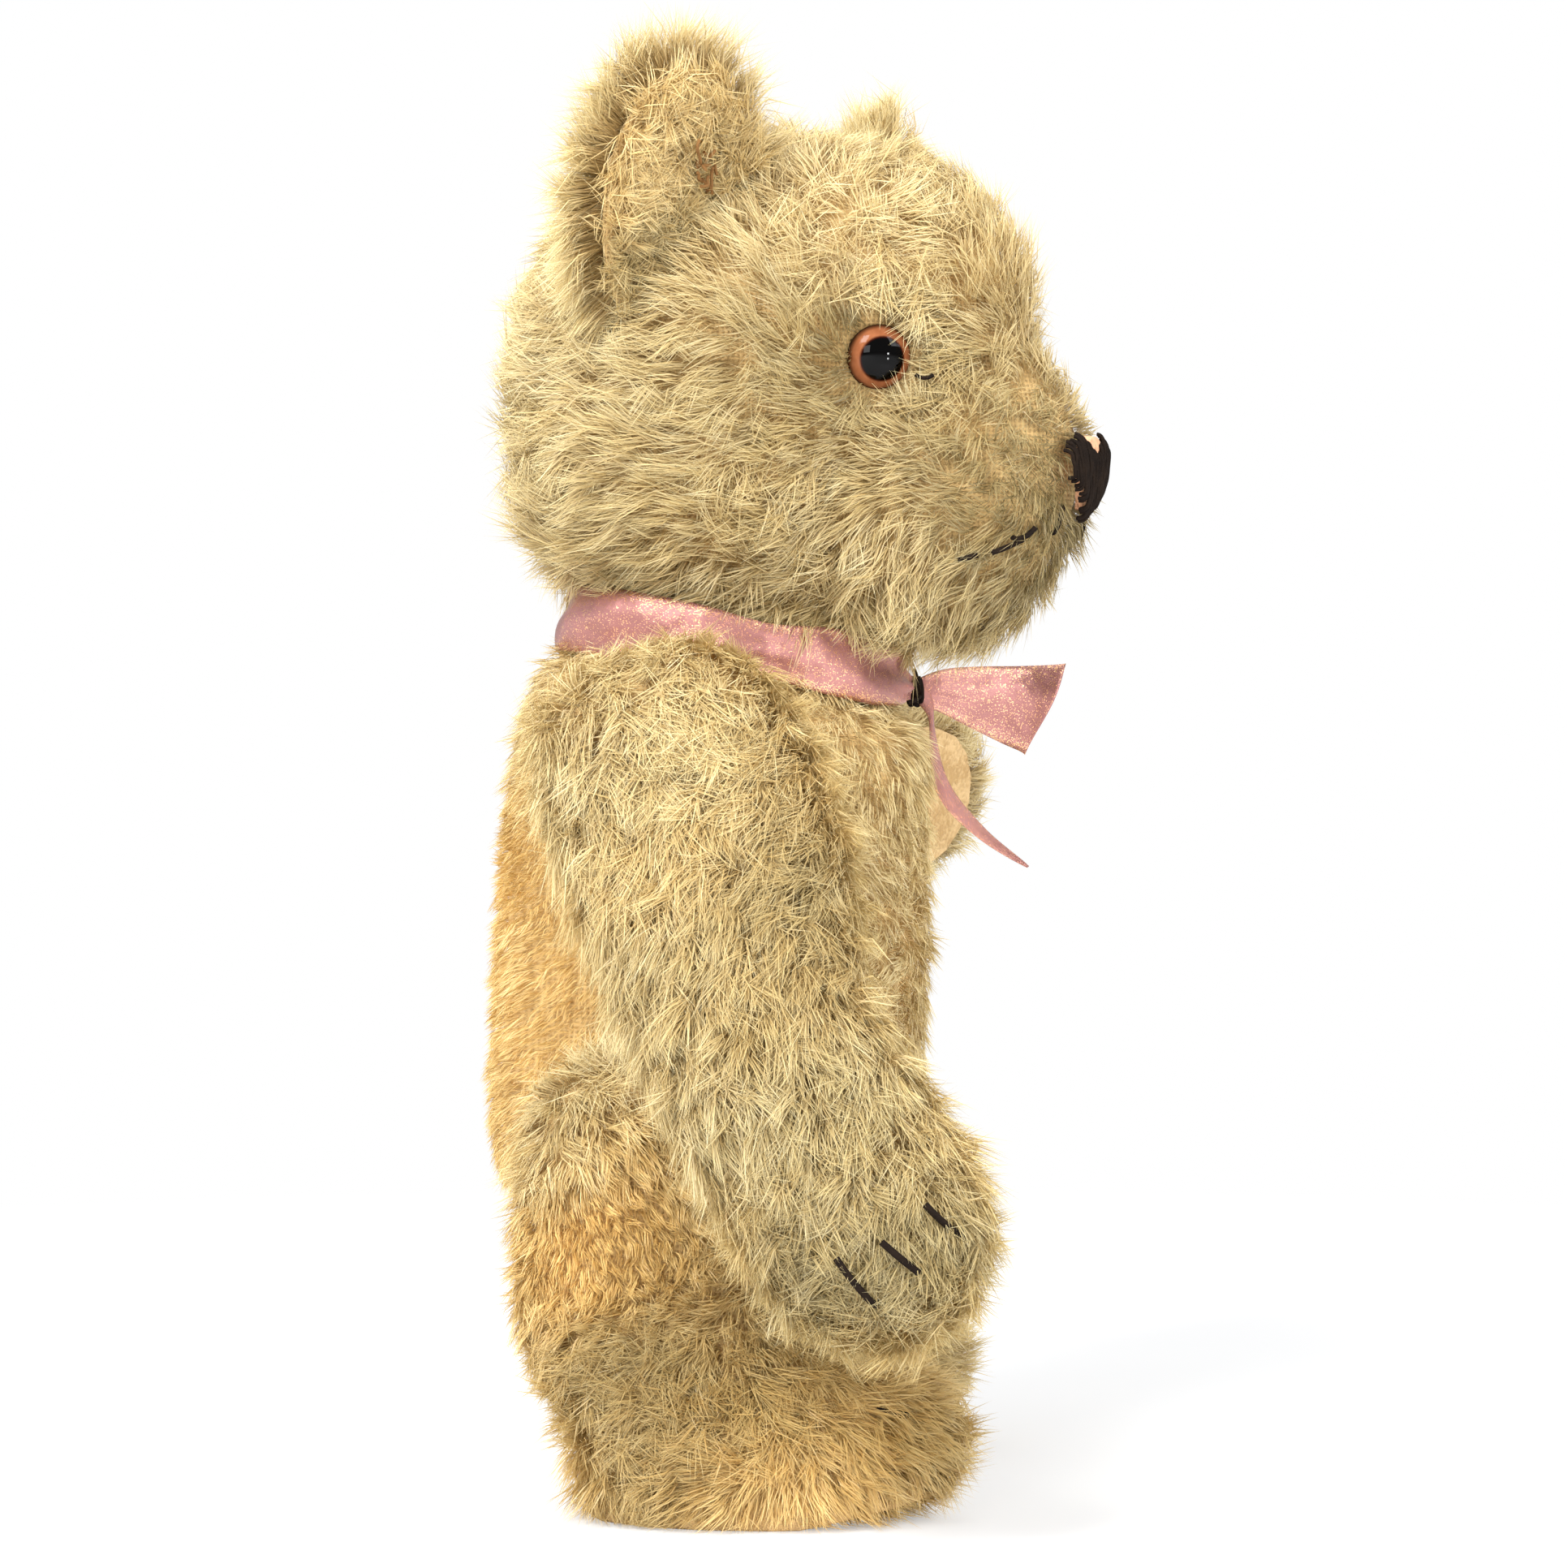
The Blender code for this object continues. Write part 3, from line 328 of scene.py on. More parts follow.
def roots_on(skin, count, draw, keep):
    """Places and outward normals of hairs, spread evenly and then thinned by keep, a share from 0 to 1."""
    skin.data.calc_loop_triangles()
    corners = np.empty(len(skin.data.loop_triangles) * 3, int)
    skin.data.loop_triangles.foreach_get("vertices", corners)
    corners = corners.reshape(-1, 3)
    places = vectors_of(skin.data, "vertices")
    normals = vectors_of(skin.data, "vertices", "normal")
    a, b, c = (places[corners[:, i]] for i in range(3))
    area = np.linalg.norm(np.cross(b - a, c - a), axis=1)
    weight = area * np.clip(keep((a + b + c) / 3, unit(normals[corners].mean(axis=1))), 0, 1)
    chosen = draw.choice(len(corners), count, p=weight / weight.sum())
    share = draw.dirichlet((1, 1, 1), count)[:, :, None]
    root = (places[corners[chosen]] * share).sum(axis=1)
    return root, unit((normals[corners[chosen]] * share).sum(axis=1))


def nearest_of(points, centres):
    """For each point, the number of the centre that is nearest to it."""
    tree = kdtree.KDTree(len(centres))
    for index, centre in enumerate(centres):
        tree.insert(centre, index)
    tree.balance()
    return np.array([tree.find(place)[1] for place in points])


HAIR_WIDTH = 0.26 * MM
HAIRS_IN_LOCK = 24
HAIR_LENGTHS, LOCK_LENGTHS = (0.65, 1.2), (0.8, 1.2)
HAIR_TURN, LOCK_TURN = 0.2, 0.42
HAIR_LEAN, LOCK_LEAN = 0.10, 0.20
FLATTEST_LEAN = 1.38
HAIR_CURL, LOCK_CURL = 0.06, 0.16
MIDDLE_LEAN, TIP_LEAN = 0.72, 1.1
MIDDLE_SHARE = 0.52
HAIR_PULLS, LOCK_PULLS = (0.1, 0.85), (0.4, 1.2)
ABOVE_FLOOR = 0.2 * MM


def grow_pile(name, skin, body, count, seed, keep, style):
    """Flat hairs on a skin, each two triangles that bend at its middle, gathered in locks.

    style gives each hair's length, lean from the normal, way, dirt and painted shade, and warmth at its root.
    It may give how much the locks differ as stray. Each hair's tip is pulled towards the middle of its lock.
    """
    draw = np.random.default_rng(seed)
    root, normal = roots_on(skin, count, draw, keep)
    told = style(root, normal)
    locks = max(count // HAIRS_IN_LOCK, 1)
    lock = nearest_of(root, root[:locks])
    stray = told.get("stray", np.ones(count))
    length = told["length"] * draw.uniform(*HAIR_LENGTHS, count) * draw.uniform(*LOCK_LENGTHS, locks)[lock]
    turns = LOCK_TURN * draw.normal(size=(locks, 3))[lock] + HAIR_TURN * draw.normal(size=(count, 3))
    way = told["way"] + stray[:, None] * turns
    way = unit(way - normal * (way * normal).sum(axis=1)[:, None])
    lean = told["lean"] + stray * (draw.normal(0, LOCK_LEAN, locks)[lock] + draw.normal(0, HAIR_LEAN, count))
    lean = np.clip(lean, 0.05, FLATTEST_LEAN)[:, None]
    reach = length[:, None]
    curls = draw.normal(0, LOCK_CURL, locks)[lock] + draw.normal(0, HAIR_CURL, count)
    curl = unit(np.cross(normal, way)) * curls[:, None]
    middle = (normal * np.cos(MIDDLE_LEAN * lean) + way * np.sin(MIDDLE_LEAN * lean)) * reach * MIDDLE_SHARE
    middle += curl * reach * 0.5
    tip = (normal * np.cos(TIP_LEAN * lean) + way * np.sin(TIP_LEAN * lean)) * reach - curl * reach * 0.35
    pull = (draw.uniform(*HAIR_PULLS, count) * draw.uniform(*LOCK_PULLS, locks)[lock])[:, None]
    inward = root[lock] - root
    tip += pull * 0.8 * inward
    middle += pull * 0.3 * inward
    across = unit(np.cross(tip, normal) + 0.5 * reach * draw.normal(size=(count, 3)))
    half = HAIR_WIDTH / 2 * draw.uniform(0.7, 1.3, count)[:, None]
    edge = across * half
    points = np.stack([root, root + middle - edge, root + middle + edge, root + tip], axis=1)
    points[:, :, 2] = np.maximum(points[:, :, 2], ABOVE_FLOOR)
    mesh = bpy.data.meshes.new(name)
    mesh.vertices.add(count * 4)
    mesh.vertices.foreach_set("co", points.reshape(-1))
    mesh.loops.add(count * 6)
    mesh.loops.foreach_set("vertex_index", (np.arange(count)[:, None] * 4 + (0, 2, 1, 1, 2, 3)).reshape(-1))
    mesh.polygons.add(count * 2)
    mesh.polygons.foreach_set("loop_start", np.arange(count * 2) * 3)
    mesh.polygons.foreach_set("loop_total", np.full(count * 2, 3))
    mesh.update(calc_edges=True)
    mesh.polygons.foreach_set("use_smooth", np.ones(count * 2, bool))
    tone = 0.5 * draw.uniform(0, 1, locks)[lock] + 0.5 * draw.uniform(0, 1, count)
    sides = {"height": np.tile((0.0, 0.5, 0.5, 1.0), count)}
    for side, value in (("tone", tone), ("dirt_and_shade", told["dirt_and_shade"]), ("warmth", told["warmth"])):
        sides[side] = np.repeat(np.clip(value, 0, 1), 4)
    for side, value in sides.items():
        mesh.attributes.new(side, "FLOAT", "POINT").data.foreach_set("value", value)
    cells = math.ceil(math.sqrt(count))
    cell = np.stack([np.arange(count) % cells, np.arange(count) // cells], axis=1)[:, None, :]
    left, right, base, end = (0.15, 0.5), (0.85, 0.5), (0.5, 0.1), (0.5, 0.9)
    uv = (cell + np.array((base, right, left, left, right, end))) / cells
    mesh.uv_layers.new(name="OFBake").data.foreach_set("uv", uv.reshape(-1))
    made = bpy.data.objects.new(name, mesh)
    bpy.context.scene.collection.objects.link(made)
    mesh.materials.append(MOHAIR)
    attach(made, body)
    return made


# The dark olive that soils the hair, and that also paints shade round the eyes and in the ears' hollows.
SOIL_AND_SHADE = (0.185, 0.135, 0.048)
LIGHT_THROUGH_HAIR = 0.18


def mohair_look():
    """Hairs are dark at the root, painted shade of the deep pile, and pale at the tip. warmth gilds them."""
    look = Look(bpy.data.materials.new("mohair_pile"))
    height, tone, dirt_and_shade, warmth = (look.attribute(name) for name in ("height", "tone", "dirt_and_shade", "warmth"))
    pale = look.ramp(tone, (0.0, (0.78, 0.61, 0.28)), (0.5, (0.94, 0.80, 0.43)), (1.0, (1.0, 0.93, 0.62)))
    # The colour at the root is painted shade, as if little light reached the depth of the pile.
    deep = look.ramp(tone, (0.0, (0.27, 0.165, 0.05)), (1.0, (0.62, 0.44, 0.18)))
    gold = look.ramp(tone, (0.0, (0.60, 0.36, 0.10)), (1.0, (0.98, 0.72, 0.29)))
    hair = look.blend(look.ramp(height, (0.30, 0.0), (0.95, 1.0)), deep, pale)
    hair = look.blend(warmth, hair, gold)
    # The dark share soils the hair most at its root. Round the eyes and in the ears' hollows it is painted
    # shade.
    hair = look.blend((dirt_and_shade * (1.3 - 0.6 * height) * (0.5 + tone)).clamped(), hair, SOIL_AND_SHADE)
    look.finish(Base_Color=hair, Roughness=0.42, Specular_IOR_Level=0.45)
    through = look.node("ShaderNodeBsdfTranslucent", {}, {"Color": hair})
    look.mix(LIGHT_THROUGH_HAIR, look.shader, through)
    return look.owner


WEAVE_SCALE = 330


def ground_look():
    """The woven ground under the pile, golden, and dark where the skin's soil says so."""
    look = Look(bpy.data.materials.new("mohair_ground"))
    place = look.place()
    bands = {"Vector": place, "Scale": WEAVE_SCALE, "Distortion": 1.5, "Detail": 1}
    weft = look.node("ShaderNodeTexWave", {"bands_direction": "Z"}, bands)
    warp = look.node("ShaderNodeTexWave", {"bands_direction": "Y"}, bands)
    threads = (weft * warp).clamped()
    cloth = look.ramp(look.noise(place, 55), (0.3, (0.52, 0.33, 0.12)), (0.7, (0.74, 0.51, 0.22)))
    colour = look.blend(0.35 * threads, cloth, (0.34, 0.21, 0.08))
    colour = look.blend(look.attribute("soil"), colour, (0.09, 0.055, 0.025))
    return look.finish(Base_Color=colour, Roughness=0.9, Normal=look.bump(threads, 0.0003))


MOHAIR = mohair_look()
GROUND = ground_look()
joints = {joint["child"]: joint for joint in frame["joints"]}
NECK_PLACE = np.array(joints["head"]["pos_m"])
NECK_AXIS = np.array(joints["head"]["axis"])
LIMBS = ("right_arm", "left_arm", "right_leg", "left_leg")


def joint_out(child):
    """Where a limb's joint is, and the way from the torso into the limb."""
    axis = np.array(joints[child]["axis"])
    return np.array(joints[child]["pos_m"]), axis * (-1 if child.startswith("left") else 1)


PRESSED_DEPTH = 4.5 * MM


def pressed(points, normals, child, reach, facing):
    """True where a joint pulls cloth flat against cloth. facing is 1 on the torso and -1 on the limb."""
    place, out = joint_out(child)
    away = points - place
    height = away @ out
    flat = np.linalg.norm(away - np.outer(height, out), axis=1)
    return (facing * height > -PRESSED_DEPTH) & (facing * (normals @ out) > 0.55) & (flat < reach)


TORSO_LOW, TORSO_HIGH = (np.array(corner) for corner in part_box("torso_cover"))
TORSO_AXIS = (TORSO_LOW[:2] + TORSO_HIGH[:2]) / 2
TORSO_PRESSED = 19 * MM
UNDER_HEAD = 4 * MM
PLUSH_TOP = (0.125, 0.165)


def torso_keep(points, normals):
    free = np.ones(len(points))
    for child in LIMBS:
        free[pressed(points, normals, child, TORSO_PRESSED, 1)] = 0
    free[(points - NECK_PLACE) @ NECK_AXIS > -UNDER_HEAD] = 0.05
    return free


def torso_style(points, normals):
    outward = unit(points[:, :2] - TORSO_AXIS)
    strays = wander(points, 0.018, 5)
    worn = soft_step(outward[:, 1] + 0.15 * strays[:, 0], 0.05, 0.45)
    worn *= 1 - 0.9 * soft_step(points[:, 2] + 0.004 * strays[:, 2], *PLUSH_TOP)
    way = np.array((0, 0, -1.0)) + 0.5 * wander(points, 0.014, 6)
    return {
        "length": (6.4 - 2.2 * worn) * MM,
        "lean": 0.90 - 0.35 * worn,
        "way": way,
        "dirt_and_shade": 0.05 * strays[:, 1],
        "warmth": 0.05 + 0.68 * worn,
        "stray": 0.9 - 0.4 * worn,
    }


torso_skin = skin_of("torso_skin", ["torso_cover", "torso_stuffing"], "torso")
grow_pile("torso_pile", torso_skin, "torso", count=74000, seed=11, keep=torso_keep, style=torso_style)


# Head, a sewn bag of the same mohair, stuffed hard and turned to the bear's right on its neck disc
# The pile sweeps back from the muzzle, where it is worn short and soiled, and stands long on cheeks and nape.
def spot(points, centre, inner, outer):
    """1 within the inner distance of a point, fading to 0 at the outer one."""
    return 1 - soft_step(np.linalg.norm(points - np.array(centre), axis=1), inner, outer)


def flat_frame(node, outside):
    """The middle of a flat node, its long, wide and thin directions, and its half sizes along them.

    The thin direction is turned away from a point.
    """
    points = np.unique(np.round(vectors_of(frame["nodes"][node].data, "vertices"), 6), axis=0)
    middle = points.mean(axis=0)
    for _ in range(3):
        ways = np.linalg.svd(points - middle)[2]
        spread = (points - middle) @ ways.T
        middle = middle + ((spread.max(axis=0) + spread.min(axis=0)) / 2) @ ways
    ways[2] *= np.sign((middle - outside) @ ways[2])
    return middle, ways, np.abs(spread).max(axis=0)


HEAD_HEIGHT = 0.219
HEAD_MIDDLE = np.array((NECK_PLACE[0], NECK_PLACE[1], HEAD_HEIGHT))
NOSE, NOSE_WAYS, NOSE_HALF = flat_frame("nose_stitching", HEAD_MIDDLE)
EYES = {side: flat_frame(f"{side}_eye", HEAD_MIDDLE) for side in ("right", "left")}
FACE_WAY = NOSE - HEAD_MIDDLE
FACE_WAY[2] = 0
FACE_WAY /= np.linalg.norm(FACE_WAY)
HEAD_LEFT = np.array((-FACE_WAY[1], FACE_WAY[0], 0))
CROWN = 0.262
CHIN = 0.186
NECK_BARE = 8 * MM
NOSE_BARE = 7.6 * MM
EYE_BARE = 6.6 * MM


def head_keep(points, normals):
    keep = np.ones(len(points))
    keep[(points - NECK_PLACE) @ NECK_AXIS < NECK_BARE] = 0
    keep[np.linalg.norm(points - NOSE, axis=1) < NOSE_BARE] = 0
    for eye, _, _ in EYES.values():
        keep[np.linalg.norm(points - eye, axis=1) < EYE_BARE] = 0
    return keep


def head_style(points, normals):
    from_nose = points - NOSE
    muzzle = spot(points, NOSE, 14 * MM, 46 * MM)
    low = 1 - soft_step(points[:, 2], CHIN, CHIN + 0.04)
    crown = soft_step(points[:, 2], CROWN - 0.022, CROWN)
    high = soft_step(points[:, 2], EYES["right"][0][2], CROWN - 0.01)
    way = unit(from_nose) - np.outer(0.45 * low, UP) + 0.6 * wander(points, 0.014, 21)
    way += np.outer(0.7 * crown, UP)
    # Round each eye the pile is shorter, and painted shade of the sunken socket darkens it.
    around = np.zeros(len(points))
    for eye, _, _ in EYES.values():
        around = np.maximum(around, spot(points, eye, 7 * MM, 15 * MM))
        way += 3.5 * spot(points, eye, 8 * MM, 15 * MM)[:, None] * unit(points - eye)
    length = (11.5 - 5.0 * muzzle - 1.6 * crown) * (1 - 0.5 * around)
    patches = wander(points, 0.016, 22)[:, 0]
    dirt_and_shade = 0.18 * (1 - high) + 0.44 * muzzle * (1 - 0.6 * high)
    return {
        "length": length * MM,
        "lean": 0.98 - 0.12 * muzzle,
        "way": way,
        # around adds the painted shade round the eyes to the dirt.
        "dirt_and_shade": dirt_and_shade + 0.45 * around + 0.12 * patches * (0.3 + muzzle),
        "warmth": 0.10 + 0.12 * muzzle,
        "stray": 1.1 - 0.3 * muzzle,
    }


head_skin = skin_of("head_skin", ["head_cover", "head_stuffing"], "head")
grow_pile("head_pile", head_skin, "head", count=96000, seed=31, keep=head_keep, style=head_style)


# Ears, each two layers of mohair cupped and sewn into the head's seam
# The long pale pile of the back stands out past the rim, which is worn bare and dark. The inside is shorter.
# Brown darning thread holds the inner end of the right ear.
def ear(side):
    name = f"{side}_ear"
    middle, ways, half = flat_frame(name, HEAD_MIDDLE - 0.1 * FACE_WAY)
    front_way = ways[2] * np.sign(ways[2] @ FACE_WAY)

    def rim(normals):
        """How near each place is to the bare seam, just on the inner side of the ear's rim, by its normal."""
        facing = normals @ front_way
        return soft_step(facing, -0.10, 0.05) * (1 - soft_step(facing, 0.30, 0.50))

    def keep(points, normals):
        return 1 - 0.93 * rim(normals)

    def style(points, normals):
        facing = normals @ front_way
        front = soft_step(facing, -0.1, 0.3)
        edge = soft_step(facing, -0.75, -0.25) * (1 - front)
        away = points - middle
        outward = unit(away - np.outer(away @ front_way, front_way))
        # Painted shade darkens the hollow low in the cup of the ear's front.
        hollow_shade = spot(points, middle - 0.5 * half[0] * np.array(UP), 4 * MM, 16 * MM) * front
        way = outward * (1 - 1.5 * front)[:, None] + np.outer(front, 0.5 * UP)
        dirt_and_shade = 0.10 * front + 0.5 * rim(normals) + 0.5 * hollow_shade
        return {
            "length": (12.5 + edge - 5.0 * front) * MM,
            "lean": 0.62 - 0.25 * edge + 0.30 * front,
            "way": way + 0.4 * wander(points, 0.010, 41),
            "dirt_and_shade": dirt_and_shade + 0.1 * wander(points, 0.01, 42)[:, 0],
            "warmth": 0.32 * front,
        }

    skin = skin_of(f"{name}_skin", [name], "head", sink=1.2 * MM, voxel=1.5 * MM)
    soil = rim(vectors_of(skin.data, "vertices", "normal"))
    skin.data.attributes.new("soil", "FLOAT", "POINT").data.foreach_set("value", soil)
    grow_pile(f"{name}_pile", skin, "head", count=21000, seed=43, keep=keep, style=style)
    return skin


def looks_from(x, y):
    """The way from the camera through a pixel of the photograph's frame."""
    across = (x - FRAME_MIDDLE[0]) / PIXELS_PER_SLOPE
    rise = (FRAME_MIDDLE[1] - y) / PIXELS_PER_SLOPE
    return (CAMERA_WAY + CAMERA_RIGHT * across + UP * rise).normalized()


def seen_on(skin, pixel, lift):
    """The place that much in front of a skin, where the photograph shows a pixel."""
    way = looks_from(*pixel)
    hit, place, _, _ = skin.ray_cast(CAMERA_PLACE, way)
    if not hit:
        beside = CAMERA_PLACE + way * (Vector(NOSE) - CAMERA_PLACE).length
        hit, place, _, _ = skin.closest_point_on_mesh(beside)
    return place - way * lift


def select_only(made):
    bpy.ops.object.select_all(action="DESELECT")
    made.select_set(True)
    bpy.context.view_layer.objects.active = made


def thread(name, strands, radius, cotton, body):
    """Round threads through lists of places, as one piece."""
    curve = bpy.data.curves.new(name, "CURVE")
    curve.dimensions = "3D"
    curve.bevel_depth = radius
    curve.bevel_resolution = 2
    curve.use_fill_caps = True
    for strand in strands:
        spline = curve.splines.new("NURBS")
        spline.points.add(len(strand) - 1)
        spline.order_u = min(4, len(strand))
        spline.use_endpoint_u = True
        spline.resolution_u = 5
        for knot, place in zip(spline.points, strand):
            knot.co = (*place, 1)
    made = bpy.data.objects.new(name, curve)
    bpy.context.scene.collection.objects.link(made)
    select_only(made)
    bpy.ops.object.convert(target="MESH")
    made = bpy.context.active_object
    made.data.materials.append(cotton)
    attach(made, body)
    return made


def thread_look(name, colour, other):
    look = Look(bpy.data.materials.new(name))
    place = look.place()
    colour = look.blend(look.noise(place, 420, 2), colour, other)
    strands = look.bump(look.noise(place, 2600, 1), 0.0002)
    return look.finish(Base_Color=colour, Roughness=0.9, Specular_IOR_Level=0.1, Normal=strands)


BLACK = thread_look("black_thread", (0.004, 0.003, 0.003), (0.022, 0.013, 0.008))
BROWN = thread_look("darning_thread", (0.30, 0.15, 0.05), (0.16, 0.08, 0.03))
right_ear_skin = ear("right")
ear("left")
DARNING_PIXEL = (878, 208)
DARNING_STRANDS = 14
DARNING_LIFT = 4.5 * MM
DARNING_THREAD = 0.34 * MM
darning_middle = np.array(seen_on(right_ear_skin, DARNING_PIXEL, DARNING_LIFT))
draw = np.random.default_rng(44)
loops = []
for index in range(DARNING_STRANDS):
    start = darning_middle + draw.normal(0, 1.8, 3) * MM
    step = draw.normal(0, 1.6, 3) * MM
    loops.append([start, start + step, start + step + draw.normal(0, 1.5, 3) * MM, start + 2 * step])
thread("ear_darning", loops, DARNING_THREAD, BROWN, "head")


# Eyes, domes of amber glass painted black behind, each on a wire shank that is drawn into the head
# The wire stays inside. Painted shade darkens the pile round each. Two small lamps glint in the near one.
EYE_STEPS = 48
EYE_RINGS = 24
EYE_WIDER = 1.13
EYE_BACK = 0.8 * MM


def eye_look():
    look = Look(bpy.data.materials.new("eye_glass"))
    out = look.attribute("out")
    streaks = look.noise(look.place(), 700, 2)
    amber = look.blend(streaks, (0.20, 0.060, 0.022), (0.34, 0.125, 0.052))
    pupil, pupil_edge = (0.001, 0.001, 0.001), (0.10, 0.03, 0.012)
    ring = look.ramp(out, (0.63, pupil), (0.67, pupil_edge), (0.73, 1.0), (0.90, 1.0), (1.0, 0.06))
    multiply = {"data_type": "RGBA", "blend_type": "MULTIPLY"}
    colour = look.node("ShaderNodeMix", multiply, {0: 1.0, 6: ring, 7: amber}, output=2)
    glass = {"Roughness": 0.5, "Specular_IOR_Level": 0.0, "Coat_Weight": 0.28, "Coat_Roughness": 0.02}
    return look.finish(Base_Color=colour, **glass)


EYE_LOOK = eye_look()
NEAR_EYE = Vector(EYES["right"][0])
soft_box("high_glint", bearing=296, rise=-6, distance=0.45, size=0.03, power=0.22, aim=NEAR_EYE)
soft_box("low_glint", bearing=297, rise=-17, distance=0.45, size=0.03, power=0.15, aim=NEAR_EYE)
for side, (middle, ways, half) in EYES.items():
    bpy.ops.mesh.primitive_uv_sphere_add(segments=EYE_STEPS, ring_count=EYE_RINGS, radius=1)
    dome = bpy.context.active_object
    dome.name = f"{side}_eye_dome"
    ball = vectors_of(dome.data, "vertices")
    base = middle - ways[2] * half[2]
    deep = np.where(ball[:, 2] > 0, 2 * half[2], EYE_BACK)
    disc = (ball[:, :1] * ways[0] + ball[:, 1:2] * ways[1]) * half[0] * EYE_WIDER
    points = base + disc + np.outer(ball[:, 2] * deep, ways[2])
    dome.data.vertices.foreach_set("co", points.reshape(-1))
    out = np.linalg.norm(ball[:, :2], axis=1)
    dome.data.attributes.new("out", "FLOAT", "POINT").data.foreach_set("value", out)
    dome.data.shade_smooth()
    dome.data.materials.append(EYE_LOOK)
    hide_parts(f"{side}_eye")
    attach(dome, "head")


# Nose, upright satin stitches of black cotton over a peach felt pad
# The top of the middle stitches has worn through, so the felt shows there.
FELT_MOTTLE = 140
FELT_GRAIN = 900


def felt_look(name, light, dark):
    look = Look(bpy.data.materials.new(name))
    place = look.place()
    mottle = look.noise(place, FELT_MOTTLE, 4)
    grain = look.noise(place, FELT_GRAIN, 2)
    colour = look.blend(look.ramp(mottle + 0.9 * (grain - 0.5), (0.35, 0.0), (0.65, 1.0)), light, dark)
    return look.finish(Base_Color=colour, Roughness=0.95, Normal=look.bump(grain, 0.001))


PEACH = felt_look("nose_felt", (0.78, 0.42, 0.24), (0.60, 0.30, 0.16))
nose_out = Vector(NOSE_WAYS[2])
nose_up = (UP - nose_out * UP.dot(nose_out)).normalized()
nose_across = nose_up.cross(nose_out)
NOSE_STITCHES = 31
NOSE_THREAD = 0.40 * MM
NOSE_WORN = 0.45
NOSE_WORN_AT = -0.10
NOSE_WIDE = max(NOSE_HALF[0], NOSE_HALF[1])
NOSE_TALL = NOSE_HALF[1]


def nose_place(across, up, lift):
    """A place on the domed nose, across and up from -1 to 1, that much above it."""
    dome = math.sqrt(max(1 - 0.9 * (across**2 + up**2), 0.02))
    level = nose_out * (NOSE_HALF[2] * dome + lift)
    return Vector(NOSE) + nose_across * across * NOSE_WIDE + nose_up * up * NOSE_TALL + level


bpy.ops.mesh.primitive_uv_sphere_add(segments=32, ring_count=16, radius=1)
pad = bpy.context.active_object
pad.name = "nose_pad"
for point in pad.data.vertices:
    ball = point.co.copy()
    wide = ball.x * (0.38 + 0.22 * ball.y)
    point.co = nose_place(wide, 0.84 * ball.y, -0.25 * MM if ball.z > 0 else -3 * MM)
pad.data.shade_smooth()
pad.data.materials.append(PEACH)
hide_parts("nose_stitching")
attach(pad, "head")

draw = np.random.default_rng(52)
stitches = []
for index in range(NOSE_STITCHES):
    share = 1.15 * (2 * index / (NOSE_STITCHES - 1) - 1)
    top = 0.98 * math.sqrt(1 - 0.55 * share**2) - 0.14 * draw.uniform()
    low = -1.0 + 0.75 * abs(share) ** 1.4 - 0.14 * draw.uniform()
    sunk = max(abs(share) - 0.85, 0) * 3.5 * MM
    from_worn = abs(share - NOSE_WORN_AT) / NOSE_WORN
    if from_worn < 1:
        top -= 0.45 * (1 - from_worn) ** 0.5 + 0.12 * draw.uniform()
    strand = []
    for step in range(7):
        up = top + (low - top) * step / 6
        narrowing = 0.36 + 0.56 * (up + 1) / 2
        sway = 0.012 * draw.normal()
        strand.append(nose_place(share * narrowing + sway, up, 0.5 * MM * draw.uniform() - sunk))
    stitches.append([strand[0] - nose_out * 1.2 * MM, *strand, strand[-1] - nose_out * 1.5 * MM])
thread("nose_stitches", stitches, NOSE_THREAD, BLACK, "head")


# Mouth, one black thread each side, mostly worn away
# It lies on the short pile, and only bits of it are left. A thread's end also sticks out beside the near eye.
MOUTH_PIXELS = (
    ((1326, 622), (1320, 640), (1303, 653), (1297, 657)),
    ((1276, 650), (1268, 660), (1256, 668), (1247, 662)),
    ((1262, 664), (1240, 676), (1222, 681)),
    ((1205, 684), (1180, 690)),
)


def mirrored(place, skin, lift):
    """The place on the other side of the head's middle, put back on the skin."""
    left = Vector(HEAD_LEFT)
    across = (place - Vector(NOSE)).dot(left)
    _, near, normal, _ = skin.closest_point_on_mesh(place - left * 2 * across)
    return near + normal * lift


MOUTH_THREAD = 0.55 * MM
MOUTH_LIFT = 4.6 * MM
FAR_MOUTH_LIFT = 3.4 * MM
bits = [[seen_on(head_skin, pixel, MOUTH_LIFT) for pixel in bit] for bit in MOUTH_PIXELS]
bits += [[mirrored(place, head_skin, FAR_MOUTH_LIFT) for place in bit] for bit in bits[:3]]
mouth = thread("mouth_stitches", bits, MOUTH_THREAD, BLACK, "head")
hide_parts("mouth_thread")
EYE_THREAD_PIXELS = ((1128, 462), (1140, 470), (1150, 462))
EYE_THREAD = 0.4 * MM
EYE_THREAD_LIFT = 5.5 * MM
thread_end = [[seen_on(head_skin, pixel, EYE_THREAD_LIFT) for pixel in EYE_THREAD_PIXELS]]
thread("eye_thread_end", thread_end, EYE_THREAD, BLACK, "head")


# Arms, narrow bags of mohair on their own disc joints
# The pile runs down to the paw, pale on the upper arm and darkened with dirt at the paw.
LIMB_PRESSED = 20 * MM
PAW_PAD_BARE = 15.5 * MM
SOLE_BARE = 6 * MM
SHOULDER_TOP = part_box("right_arm_cover")[1][2]


def pad_middle(child):
    side = child.split("_")[0]
    pad = "paw_pad" if child.endswith("arm") else "sole_pad"
    low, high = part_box(f"{side}_{pad}")
    return np.array((low + high) / 2)


